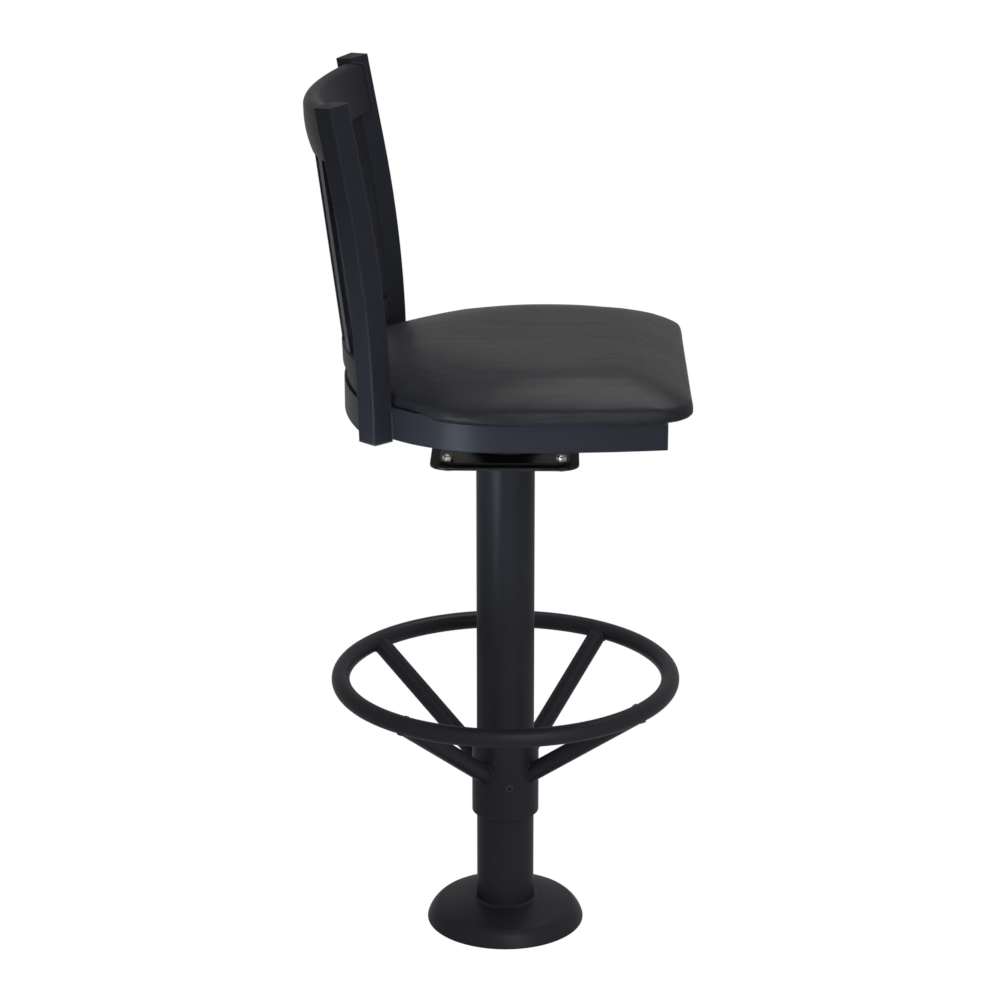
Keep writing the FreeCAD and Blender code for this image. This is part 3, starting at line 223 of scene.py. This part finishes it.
def make_coat(name, dark, light, gloss, peel_scale, peel_depth, specular, shine):
    """A powder coat: its two tones, roughness, orange peel and the share of its clear shine."""
    material = bpy.data.materials.new(name)
    material.use_nodes = True
    tree = material.node_tree
    skin = tree.nodes["Principled BSDF"]
    grain = tree.nodes.new("ShaderNodeGroup")
    grain.node_tree = coat_grain
    grain.inputs["Peel Scale"].default_value = peel_scale
    grain.inputs["Gloss"].default_value = gloss
    tone = tree.nodes.new("ShaderNodeMix")
    tone.data_type = "RGBA"
    tone.inputs["A"].default_value = (*dark, 1.0)
    tone.inputs["B"].default_value = (*light, 1.0)
    tree.links.new(grain.outputs["Cloud"], tone.inputs["Factor"])
    tree.links.new(tone.outputs["Result"], skin.inputs["Base Color"])
    tree.links.new(grain.outputs["Roughness"], skin.inputs["Roughness"])
    bump = tree.nodes.new("ShaderNodeBump")
    bump.inputs["Strength"].default_value = 1.0
    bump.inputs["Distance"].default_value = peel_depth
    tree.links.new(grain.outputs["Height"], bump.inputs["Height"])
    tree.links.new(bump.outputs["Normal"], skin.inputs["Normal"])
    skin.inputs["Specular IOR Level"].default_value = specular
    skin.inputs["Coat Weight"].default_value = shine
    skin.inputs["Coat Roughness"].default_value = 0.36
    return material


pedestal_coat = make_coat(
    "pedestal_coat",
    dark=(0.0140, 0.0146, 0.0182),
    light=(0.0175, 0.0182, 0.0225),
    gloss=0.46,
    peel_scale=620.0,
    peel_depth=0.00009,
    specular=0.012,
    shine=0.12,
)


def paint_node(name, material):
    for spot in nodes[name].material_slots:
        spot.material = material


def joined_copy(name, whole_faces=True):
    """A CAD node's shape as a bmesh, its loose triangles joined up into flat faces."""
    work = bmesh.new()
    work.from_mesh(nodes[name].data)
    bmesh.ops.remove_doubles(work, verts=work.verts, dist=0.000004)
    if whole_faces:
        bmesh.ops.dissolve_limit(
            work,
            angle_limit=math.radians(0.8),
            verts=work.verts,
            edges=work.edges,
        )
    return work


def add_piece(name, work, material, body, smooth=True):
    """A finished bmesh becomes a shown piece of its body."""
    for face in work.faces:
        face.smooth = smooth
    data = bpy.data.meshes.new(name)
    work.to_mesh(data)
    work.free()
    data.materials.append(material)
    piece = bpy.data.objects.new(name, data)
    scene.collection.objects.link(piece)
    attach(piece, body)
    return piece


SHARP_CORNER = 0.6


def eased_node(name, width, material, body, segments=2):
    """A CAD node's shape again, with its sharp edges eased by a small radius."""
    work = joined_copy(name)
    sharp = []
    for edge in work.edges:
        if len(edge.link_faces) == 2 and edge.calc_face_angle(0.0) > SHARP_CORNER:
            sharp.append(edge)
    bmesh.ops.bevel(
        work,
        geom=sharp,
        offset=width,
        offset_type="OFFSET",
        affect="EDGES",
        segments=segments,
        profile=0.5,
        material=-1,
        clamp_overlap=True,
    )
    piece = add_piece(name + "_eased", work, material, body)
    flats = piece.modifiers.new("flat_faces", "WEIGHTED_NORMAL")
    flats.keep_sharp = True
    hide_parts(name)


def shaped_mesh(shown):
    """The mesh that a curve, or a piece with its modifiers, comes to."""
    bpy.context.view_layer.update()
    laid = shown.evaluated_get(bpy.context.evaluated_depsgraph_get())
    return bpy.data.meshes.new_from_object(laid)


RIPPLE_PITCH = 0.0035
RIPPLE_VALLEY = 0.9
RIPPLE_RISE = 0.16


def weld_bead(name, path, radius, body, material, closed=False):
    """A weld bead along a line: a thin tube whose thickness rises and falls with each ripple."""
    data = bpy.data.curves.new(name, "CURVE")
    data.dimensions = "3D"
    data.bevel_depth = radius
    data.bevel_resolution = 3
    data.use_fill_caps = True
    spline = data.splines.new("POLY")
    spline.points.add(len(path) - 1)
    run = 0.0
    for number, place in enumerate(path):
        if number:
            run += (Vector(place) - Vector(path[number - 1])).length
        ripple = abs(math.sin(math.pi * run / RIPPLE_PITCH))
        spline.points[number].co = (*place, 1.0)
        spline.points[number].radius = RIPPLE_VALLEY + RIPPLE_RISE * ripple
    spline.use_cyclic_u = closed
    curve = bpy.data.objects.new(name + "_line", data)
    scene.collection.objects.link(curve)
    solid = shaped_mesh(curve)
    bpy.data.objects.remove(curve)
    work = bmesh.new()
    work.from_mesh(solid)
    bpy.data.meshes.remove(solid)
    add_piece(name, work, material, body)


def ring_path(radius, height, count):
    path = []
    for number in range(count):
        turn = 2.0 * math.pi * number / count
        path.append((radius * math.cos(turn), radius * math.sin(turn), height))
    return path


PLATE_EASE = 0.0007
PLATE_WELD_RADIUS = 0.0026
PLATE_WELD_SET = 0.0012
PLATE_WELD_POINTS = 260
paint_node("floor_flange", pedestal_coat)
paint_node("column_tube", pedestal_coat)
eased_node("column_top_plate", PLATE_EASE, pedestal_coat, "base")
plate_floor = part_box("column_top_plate")[0].z
column_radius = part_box("column_tube")[1].x
weld_bead(
    "plate_weld",
    ring_path(column_radius + PLATE_WELD_SET, plate_floor - PLATE_WELD_SET, PLATE_WELD_POINTS),
    PLATE_WELD_RADIUS,
    "base",
    pedestal_coat,
    closed=True,
)

# Floor cover: a spun steel dome that hides the flange and its anchors. It is loose on the
# column and has the pedestal's finish.
paint_node("floor_cover", pedestal_coat)

# Foot ring: bent tube, four coped spokes and a sleeve, welded all round and powder coated as
# one. Two plain set screws with hexagon sockets clamp it to the column.
HOOP_RADIUS = 0.2179
HOOP_HEIGHT = 0.3485
RING_TUBE = 0.012
SLEEVE_RADIUS = 0.04445
SPOKE_FOOT = 0.221
SPOKE_TURN = 54.0
SPOKE_WELD_RADIUS = 0.0019
JOINT_POINTS = 72
JOINT_HALVINGS = 30
JOINT_SINK = 0.97
paint_node("footring_hoop", pedestal_coat)
paint_node("footring_sleeve", pedestal_coat)
for number in range(4):
    paint_node(f"footring_spoke_{number + 1}", pedestal_coat)


def spoke_joint(turn, on_hoop):
    """Where a spoke's surface meets the sleeve or the hoop, found along lines of its surface."""
    out = Vector((math.cos(turn), math.sin(turn), 0.0))
    foot = out * SLEEVE_RADIUS + Vector((0.0, 0.0, SPOKE_FOOT))
    head = out * HOOP_RADIUS + Vector((0.0, 0.0, HOOP_HEIGHT))
    along = (head - foot).normalized()
    side = Vector((-math.sin(turn), math.cos(turn), 0.0))
    rise = along.cross(side)
    length = (head - foot).length
    path = []
    for number in range(JOINT_POINTS):
        angle = 2.0 * math.pi * number / JOINT_POINTS
        reach_out = side * math.cos(angle) + rise * math.sin(angle)
        start = foot + reach_out * RING_TUBE * JOINT_SINK
        near, far = (length * 0.5, length) if on_hoop else (length * 0.5, -length * 0.4)
        for _ in range(JOINT_HALVINGS):
            middle = (near + far) / 2
            place = start + along * middle
            reach = math.hypot(place.x, place.y)
            if on_hoop:
                inside = math.hypot(reach - HOOP_RADIUS, place.z - HOOP_HEIGHT) < RING_TUBE
            else:
                inside = reach < SLEEVE_RADIUS
            if inside:
                far = middle
            else:
                near = middle
        path.append(start + along * near)
    return path


for number in range(4):
    turn = math.radians(SPOKE_TURN + 90.0 * number)
    for where, on_hoop in (("hoop", True), ("sleeve", False)):
        weld_bead(
            f"spoke_{number + 1}_{where}_weld",
            spoke_joint(turn, on_hoop),
            SPOKE_WELD_RADIUS,
            "foot_ring",
            pedestal_coat,
            closed=True,
        )


def make_metal(name, colour, rough, grain_scale):
    """Bare or plated metal, cloudy by a quarter of its tone and duller in its paler clouds."""
    material = bpy.data.materials.new(name)
    material.use_nodes = True
    tree = material.node_tree
    skin = tree.nodes["Principled BSDF"]
    skin.inputs["Metallic"].default_value = 1.0
    place = tree.nodes.new("ShaderNodeTexCoord")
    cloud = tree.nodes.new("ShaderNodeTexNoise")
    cloud.inputs["Scale"].default_value = grain_scale
    cloud.inputs["Detail"].default_value = 5.0
    tree.links.new(place.outputs["Object"], cloud.inputs["Vector"])
    tone = tree.nodes.new("ShaderNodeMix")
    tone.data_type = "RGBA"
    tone.inputs["A"].default_value = (*[part * 0.75 for part in colour], 1.0)
    tone.inputs["B"].default_value = (*colour, 1.0)
    tree.links.new(cloud.outputs["Fac"], tone.inputs["Factor"])
    tree.links.new(tone.outputs["Result"], skin.inputs["Base Color"])
    spread = tree.nodes.new("ShaderNodeMapRange")
    spread.inputs["To Min"].default_value = rough
    spread.inputs["To Max"].default_value = rough + 0.2
    tree.links.new(cloud.outputs["Fac"], spread.inputs["Value"])
    tree.links.new(spread.outputs["Result"], skin.inputs["Roughness"])
    return material


screw_black = make_metal(
    "screw_black",
    colour=(0.035, 0.035, 0.038),
    rough=0.35,
    grain_scale=500.0,
)
paint_node("footring_set_screws", screw_black)

# Swivel: pressed black plates round a steel ball bearing, bolted through with zinc plated
# hexagon bolts. The seat's own bolts and nuts are of the same kind.
plate_black = make_coat(
    "plate_black",
    dark=(0.004, 0.004, 0.0045),
    light=(0.006, 0.006, 0.0065),
    gloss=0.38,
    peel_scale=800.0,
    peel_depth=0.00005,
    specular=0.12,
    shine=0.10,
)
SWIVEL_PLATE_EASE = 0.0006
eased_node("swivel_lower_plate", SWIVEL_PLATE_EASE, plate_black, "base")
eased_node("swivel_upper_plate", SWIVEL_PLATE_EASE, plate_black, "seat")
paint_node("swivel_housing", plate_black)
bearing_steel = make_metal(
    "bearing_steel",
    colour=(0.45, 0.45, 0.46),
    rough=0.25,
    grain_scale=300.0,
)
for name in ("swivel_balls", "swivel_cage", "swivel_spindle", "swivel_lock_nut", "swivel_race"):
    paint_node(name, bearing_steel)
zinc = make_metal("zinc", colour=(0.34, 0.33, 0.30), rough=0.26, grain_scale=400.0)
BOLT_EASE = 0.0005
for name, body in (
    ("swivel_bolts", "base"),
    ("swivel_nuts", "base"),
    ("seat_bolts", "seat"),
    ("seat_nuts", "seat"),
):
    eased_node(name, BOLT_EASE, zinc, body, segments=1)

# Seat frame: bent flat bar welded to the uprights' corners, with flat cross bars and thin
# gussets, powder coated a little smoother than the pedestal.
frame_coat = make_coat(
    "frame_coat",
    dark=(0.0130, 0.0138, 0.0180),
    light=(0.0165, 0.0174, 0.0225),
    gloss=0.42,
    peel_scale=900.0,
    peel_depth=0.00005,
    specular=0.015,
    shine=0.06,
)
BAR_EASE = 0.0007
GUSSET_EASE = 0.0005
for place in ("left", "right", "front", "rear"):
    eased_node(f"seat_rail_{place}", BAR_EASE, frame_coat, "seat")
for place in ("front", "rear"):
    eased_node(f"cross_bar_{place}", BAR_EASE, frame_coat, "seat")
for place in ("front_left", "front_right", "rear_left", "rear_right"):
    eased_node(f"gusset_{place}", GUSSET_EASE, frame_coat, "seat")

# Uprights: square steel tube standing corner outwards, bent to the back's lean. A low hipped
# cap is welded on each top, a ribbed black plug is pressed into each foot, and an upright weld
# joins the side rails where they leave the tubes.
CAP_SINK = 0.0016
CAP_RISE = 0.0046
for side in ("left", "right"):
    paint_node(f"upright_{side}", frame_coat)
    work = joined_copy(f"upright_cap_{side}")
    top = max(work.faces, key=lambda face: face.normal.z)
    bmesh.ops.translate(work, verts=top.verts, vec=-top.normal * CAP_SINK)
    bmesh.ops.poke(work, faces=[top], offset=CAP_RISE, center_mode="MEAN")
    name = f"upright_cap_{side}_hipped"
    cap = add_piece(name, work, frame_coat, "seat", smooth=False)
    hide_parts(f"upright_cap_{side}")


def make_plug_plastic():
    """Moulded black plastic, finely pebbled and scuffed a little grey."""
    material = bpy.data.materials.new("plug_plastic")
    material.use_nodes = True
    tree = material.node_tree
    skin = tree.nodes["Principled BSDF"]
    place = tree.nodes.new("ShaderNodeTexCoord")
    speck = tree.nodes.new("ShaderNodeTexNoise")
    speck.inputs["Scale"].default_value = 1500.0
    tree.links.new(place.outputs["Object"], speck.inputs["Vector"])
    scuff = tree.nodes.new("ShaderNodeTexNoise")
    scuff.inputs["Scale"].default_value = 90.0
    scuff.inputs["Detail"].default_value = 6.0
    tree.links.new(place.outputs["Object"], scuff.inputs["Vector"])
    tone = tree.nodes.new("ShaderNodeValToRGB")
    tone.color_ramp.elements[0].position = 0.45
    tone.color_ramp.elements[0].color = (0.011, 0.011, 0.011, 1.0)
    tone.color_ramp.elements[1].position = 0.8
    tone.color_ramp.elements[1].color = (0.03, 0.03, 0.03, 1.0)
    tree.links.new(scuff.outputs["Fac"], tone.inputs["Fac"])
    tree.links.new(tone.outputs["Color"], skin.inputs["Base Color"])
    bump = tree.nodes.new("ShaderNodeBump")
    bump.inputs["Distance"].default_value = 0.00006
    tree.links.new(speck.outputs["Fac"], bump.inputs["Height"])
    tree.links.new(bump.outputs["Normal"], skin.inputs["Normal"])
    skin.inputs["Roughness"].default_value = 0.55
    return material


plug_plastic = make_plug_plastic()
for side in ("left", "right"):
    paint_node(f"upright_plug_{side}", plug_plastic)

WELD_STEP = 0.0009


def fine_path(corners, hand, closed=False):
    """Points close together along a line given in millimetres, mirrored to the hand's side."""
    ends = [Vector((hand * x, y, z)) / 1000.0 for x, y, z in corners]
    if closed:
        ends.append(ends[0])
    path = []
    for start, end in zip(ends, ends[1:]):
        count = max(1, round((end - start).length / WELD_STEP))
        for number in range(count):
            path.append(start.lerp(end, number / count))
    if not closed:
        path.append(ends[-1])
    return path


SIDE_RAIL_WELD_RADIUS = 0.0026
SIDE_RAIL_END = [(182.5, 134.4, 729.0), (182.5, 135.6, 767.0)]
for hand, side in ((-1, "left"), (1, "right")):
    weld_bead(
        f"side_rail_{side}_weld",
        fine_path(SIDE_RAIL_END, hand),
        SIDE_RAIL_WELD_RADIUS,
        "seat",
        frame_coat,
    )

# Back: crest and lower rail in satin black with flat slats between them. Both rails are welded
# all round where their ends meet the uprights, along the outlines given here in millimetres.
back_satin = make_coat(
    "back_satin",
    dark=(0.0075, 0.0077, 0.0090),
    light=(0.0110, 0.0113, 0.0130),
    gloss=0.42,
    peel_scale=500.0,
    peel_depth=0.00003,
    specular=0.012,
    shine=0.05,
)
paint_node("crest_rail", back_satin)
paint_node("lower_back_rail", back_satin)
SLAT_EASE = 0.0009
for number in range(4):
    eased_node(f"back_slat_{number + 1}", SLAT_EASE, frame_coat, "seat")
CREST_WELD_RADIUS = 0.0021
CREST_END = [
    (174.8, 177.4, 1070.7),
    (174.8, 182.7, 1099.5),
    (174.8, 187.9, 1128.3),
    (169.3, 194.1, 1131.7),
    (163.2, 200.5, 1133.1),
    (163.2, 205.0, 1133.7),
    (168.5, 210.1, 1132.1),
    (173.7, 214.0, 1124.6),
    (176.4, 211.2, 1094.5),
    (174.5, 204.8, 1070.0),
    (170.7, 200.2, 1065.7),
    (163.2, 192.8, 1067.1),
    (163.2, 188.7, 1067.8),
    (170.8, 181.2, 1069.2),
]
LOW_RAIL_WELD_RADIUS = 0.0014
LOW_RAIL_END = [
    (163.2, 156.0, 791.0),
    (163.2, 156.6, 819.0),
    (163.4, 161.3, 821.6),
    (169.8, 167.7, 821.4),
    (173.1, 170.8, 817.0),
    (173.1, 169.7, 792.5),
    (169.9, 166.3, 788.4),
    (163.4, 159.9, 788.7),
]
for hand, side in ((-1, "left"), (1, "right")):
    for name, outline, radius in (
        ("crest", CREST_END, CREST_WELD_RADIUS),
        ("low_rail", LOW_RAIL_END, LOW_RAIL_WELD_RADIUS),
    ):
        path = fine_path(outline, hand, closed=True)
        weld_name = f"{name}_{side}_weld"
        weld_bead(weld_name, path, radius, "seat", frame_coat, closed=True)


# Seat board: birch plywood, let into the foam's underside. Its face grain runs across the
# seat, and zinc plated screws come up into it through the frame.
def make_plywood():
    material = bpy.data.materials.new("plywood")
    material.use_nodes = True
    tree = material.node_tree
    skin = tree.nodes["Principled BSDF"]
    place = tree.nodes.new("ShaderNodeTexCoord")
    stretch = tree.nodes.new("ShaderNodeMapping")
    stretch.inputs["Scale"].default_value = (6.0, 60.0, 60.0)
    tree.links.new(place.outputs["Object"], stretch.inputs["Vector"])
    fibre = tree.nodes.new("ShaderNodeTexNoise")
    fibre.inputs["Scale"].default_value = 3.0
    fibre.inputs["Detail"].default_value = 8.0
    fibre.inputs["Distortion"].default_value = 0.6
    tree.links.new(stretch.outputs["Vector"], fibre.inputs["Vector"])
    tone = tree.nodes.new("ShaderNodeValToRGB")
    tone.color_ramp.elements[0].position = 0.3
    tone.color_ramp.elements[0].color = (0.30, 0.17, 0.075, 1.0)
    tone.color_ramp.elements[1].position = 0.7
    tone.color_ramp.elements[1].color = (0.55, 0.38, 0.21, 1.0)
    tree.links.new(fibre.outputs["Fac"], tone.inputs["Fac"])
    tree.links.new(tone.outputs["Color"], skin.inputs["Base Color"])
    bump = tree.nodes.new("ShaderNodeBump")
    bump.inputs["Distance"].default_value = 0.0002
    tree.links.new(fibre.outputs["Fac"], bump.inputs["Height"])
    tree.links.new(bump.outputs["Normal"], skin.inputs["Normal"])
    skin.inputs["Roughness"].default_value = 0.62
    return material


paint_node("seat_board", make_plywood())
paint_node("board_screws", zinc)


# Seat cushion: foam on the board under black vinyl, pulled round the lower edge. The cover is
# a cloth run over the foam's shape and swells between its edges.
def make_hide_grain():
    group = bpy.data.node_groups.new("hide_grain", "ShaderNodeTree")
    for name, start in (("Grain Scale", 620.0), ("Crease Scale", 9.0)):
        socket = group.interface.new_socket(name, in_out="INPUT", socket_type="NodeSocketFloat")
        socket.default_value = start
    for name in ("Pebble", "Crease", "Shade"):
        group.interface.new_socket(name, in_out="OUTPUT", socket_type="NodeSocketFloat")
    entry = group.nodes.new("NodeGroupInput")
    leave = group.nodes.new("NodeGroupOutput")
    place = group.nodes.new("ShaderNodeTexCoord")
    pebble = group.nodes.new("ShaderNodeTexVoronoi")
    pebble.feature = "SMOOTH_F1"
    pebble.inputs["Smoothness"].default_value = 0.5
    group.links.new(place.outputs["Object"], pebble.inputs["Vector"])
    group.links.new(entry.outputs["Grain Scale"], pebble.inputs["Scale"])
    group.links.new(pebble.outputs["Distance"], leave.inputs["Pebble"])
    stretch = group.nodes.new("ShaderNodeMapping")
    stretch.inputs["Scale"].default_value = (2.2, 0.7, 1.6)
    stretch.inputs["Rotation"].default_value = (0.0, 0.0, 0.12)
    group.links.new(place.outputs["Object"], stretch.inputs["Vector"])
    crease = group.nodes.new("ShaderNodeTexNoise")
    crease.inputs["Detail"].default_value = 1.5
    crease.inputs["Distortion"].default_value = 0.8
    group.links.new(stretch.outputs["Vector"], crease.inputs["Vector"])
    group.links.new(entry.outputs["Crease Scale"], crease.inputs["Scale"])
    group.links.new(crease.outputs["Fac"], leave.inputs["Crease"])
    shade = group.nodes.new("ShaderNodeTexNoise")
    shade.inputs["Scale"].default_value = 7.0
    shade.inputs["Detail"].default_value = 5.0
    group.links.new(place.outputs["Object"], shade.inputs["Vector"])
    group.links.new(shade.outputs["Fac"], leave.inputs["Shade"])
    return group


def make_vinyl(name, dark, light, rough):
    """Leather-grained vinyl: two cloudy tones, a fine pebble and long soft creases."""
    material = bpy.data.materials.new(name)
    material.use_nodes = True
    tree = material.node_tree
    skin = tree.nodes["Principled BSDF"]
    grain = tree.nodes.new("ShaderNodeGroup")
    grain.node_tree = make_hide_grain()
    tone = tree.nodes.new("ShaderNodeMix")
    tone.data_type = "RGBA"
    tone.inputs["A"].default_value = (*dark, 1.0)
    tone.inputs["B"].default_value = (*light, 1.0)
    tree.links.new(grain.outputs["Shade"], tone.inputs["Factor"])
    tree.links.new(tone.outputs["Result"], skin.inputs["Base Color"])
    gloss = tree.nodes.new("ShaderNodeMapRange")
    gloss.inputs["To Min"].default_value = rough - 0.06
    gloss.inputs["To Max"].default_value = rough + 0.08
    tree.links.new(grain.outputs["Pebble"], gloss.inputs["Value"])
    tree.links.new(gloss.outputs["Result"], skin.inputs["Roughness"])
    fine = tree.nodes.new("ShaderNodeBump")
    fine.inputs["Distance"].default_value = 0.00022
    tree.links.new(grain.outputs["Pebble"], fine.inputs["Height"])
    soft = tree.nodes.new("ShaderNodeBump")
    soft.inputs["Distance"].default_value = 0.0017
    tree.links.new(grain.outputs["Crease"], soft.inputs["Height"])
    tree.links.new(fine.outputs["Normal"], soft.inputs["Normal"])
    tree.links.new(soft.outputs["Normal"], skin.inputs["Normal"])
    skin.inputs["Specular IOR Level"].default_value = 0.012
    skin.inputs["Coat Weight"].default_value = 0.115
    skin.inputs["Coat Roughness"].default_value = 0.38
    return material


seat_vinyl = make_vinyl(
    "seat_vinyl",
    dark=(0.0070, 0.0073, 0.0084),
    light=(0.0175, 0.0180, 0.0200),
    rough=0.46,
)
cushion_work = joined_copy("seat_cushion", whole_faces=False)
cushion = add_piece("cushion_cover", cushion_work, seat_vinyl, "seat")
even_skin = cushion.modifiers.new("even_skin", "REMESH")
even_skin.mode = "VOXEL"
even_skin.voxel_size = 0.005
even_skin.use_smooth_shade = True


def settle(piece):
    """Keeps what the modifiers have made and takes them off."""
    done = shaped_mesh(piece)
    done.name = piece.name
    piece.modifiers.clear()
    piece.data = done


settle(cushion)

# The cover is held fast at the foam's floor, on the underside, and where the lower back rail
# bears on it. The rest is free.
UNDERSIDE = -0.3
FLOOR_BAND = 0.0012
UNDERSIDE_BAND = 0.014
RAIL_LEAD = 0.012
RAIL_FLARE = 0.35
UNDER_RAIL_HEIGHT = 0.7855
foam_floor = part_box("seat_board")[0].z
rail_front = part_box("lower_back_rail")[0].y
held = cushion.vertex_groups.new(name="held")
grips = []
for vert in cushion.data.vertices:
    place = vert.co
    over_floor = place.z - foam_floor
    near_rail = place.y - (rail_front - RAIL_LEAD - RAIL_FLARE * abs(place.x))
    grip = 1.0 if over_floor < FLOOR_BAND else 0.0
    if vert.normal.z < UNDERSIDE and over_floor < UNDERSIDE_BAND:
        grip = 1.0
    if near_rail > 0.0 and place.z > UNDER_RAIL_HEIGHT:
        grip = 1.0
    held.add([vert.index], grip, "REPLACE")
    grips.append(grip)

START_SHRINK = 0.0008
MOST_SWELL = 0.0025
CLOTH_FRAMES = 20
rest = [vert.co.copy() for vert in cushion.data.vertices]
for vert, grip in zip(cushion.data.vertices, grips):
    vert.co = vert.co - vert.normal * START_SHRINK * (1.0 - grip)
cloth = cushion.modifiers.new("vinyl", "CLOTH")
cloth.settings.quality = 5
cloth.settings.mass = 0.35
cloth.settings.tension_stiffness = 22.0
cloth.settings.compression_stiffness = 12.0
cloth.settings.shear_stiffness = 8.0
cloth.settings.bending_stiffness = 4.0
cloth.settings.use_pressure = True
cloth.settings.uniform_pressure_force = 4.0
cloth.settings.effector_weights.gravity = 0.0
cloth.settings.vertex_group_mass = "held"
cloth.point_cache.frame_start = 1
cloth.point_cache.frame_end = CLOTH_FRAMES
for number in range(1, CLOTH_FRAMES + 1):
    scene.frame_set(number)
settle(cushion)
scene.frame_set(1)
for vert, start, grip in zip(cushion.data.vertices, rest, grips):
    shift = vert.co - start
    limit = MOST_SWELL * (1.0 - grip)
    if shift.length > limit:
        shift = shift * (limit / shift.length)
    vert.co = start + shift

# The foam bulges over the sides and front, and its rear rim is drawn out and down onto the
# curved rear rail, so that no light shows between them.
SIDE_BULGE = 0.0012
SIDE_FACING = 0.5
BULGE_END = 0.08
FLOOR_GAP = 0.0003
REAR_CENTRE = -0.2069
REAR_RIM = 0.4088
RIM_START = 0.1
RIM_DEPTH = 0.022
RIM_HALF = 0.15
RIM_FADE = 0.02
RIM_TOP = 0.009
RIM_SLOPE = 0.005
RIM_DRAW = 0.8
RIM_PRESS = 0.0008
cushion_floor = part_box("seat_rail_rear")[1].z + FLOOR_GAP
work = bmesh.new()
work.from_mesh(cushion.data)
work.normal_update()
for vert in work.verts:
    outwards = Vector((vert.normal.x, vert.normal.y, 0.0))
    if vert.co.y < BULGE_END and outwards.length > SIDE_FACING:
        vert.co += outwards * SIDE_BULGE
for vert in work.verts:
    reach = math.hypot(vert.co.x, vert.co.y - REAR_CENTRE)
    if reach < REAR_RIM - RIM_DEPTH or abs(vert.co.x) > RIM_HALF or vert.co.y < RIM_START:
        continue
    low = min(1.0, max(0.0, (cushion_floor + RIM_TOP - vert.co.z) / RIM_SLOPE))
    fade = min(1.0, (RIM_HALF - abs(vert.co.x)) / RIM_FADE)
    wanted = min(REAR_RIM, reach + (REAR_RIM - reach) * RIM_DRAW * low * fade)
    vert.co.x *= wanted / reach
    vert.co.y = REAR_CENTRE + (vert.co.y - REAR_CENTRE) * wanted / reach
    vert.co.z -= RIM_PRESS * low * fade

# The cloth's small waves are smoothed out of all but the underside. The crown, which the foam
# holds even, is smoothed most, and only in height.
CROWN = 0.6
for facing, rounds, sideways in ((UNDERSIDE, 3, True), (CROWN, 60, False)):
    soft = [vert for vert in work.verts if vert.normal.z > facing]
    for _ in range(rounds):
        bmesh.ops.smooth_vert(
            work,
            verts=soft,
            factor=0.5,
            use_axis_x=sideways,
            use_axis_y=sideways,
            use_axis_z=True,
        )
for face in work.faces:
    face.smooth = True
work.to_mesh(cushion.data)
work.free()
fine = cushion.modifiers.new("fine", "SUBSURF")
fine.levels = 1
fine.render_levels = 1
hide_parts("seat_cushion")
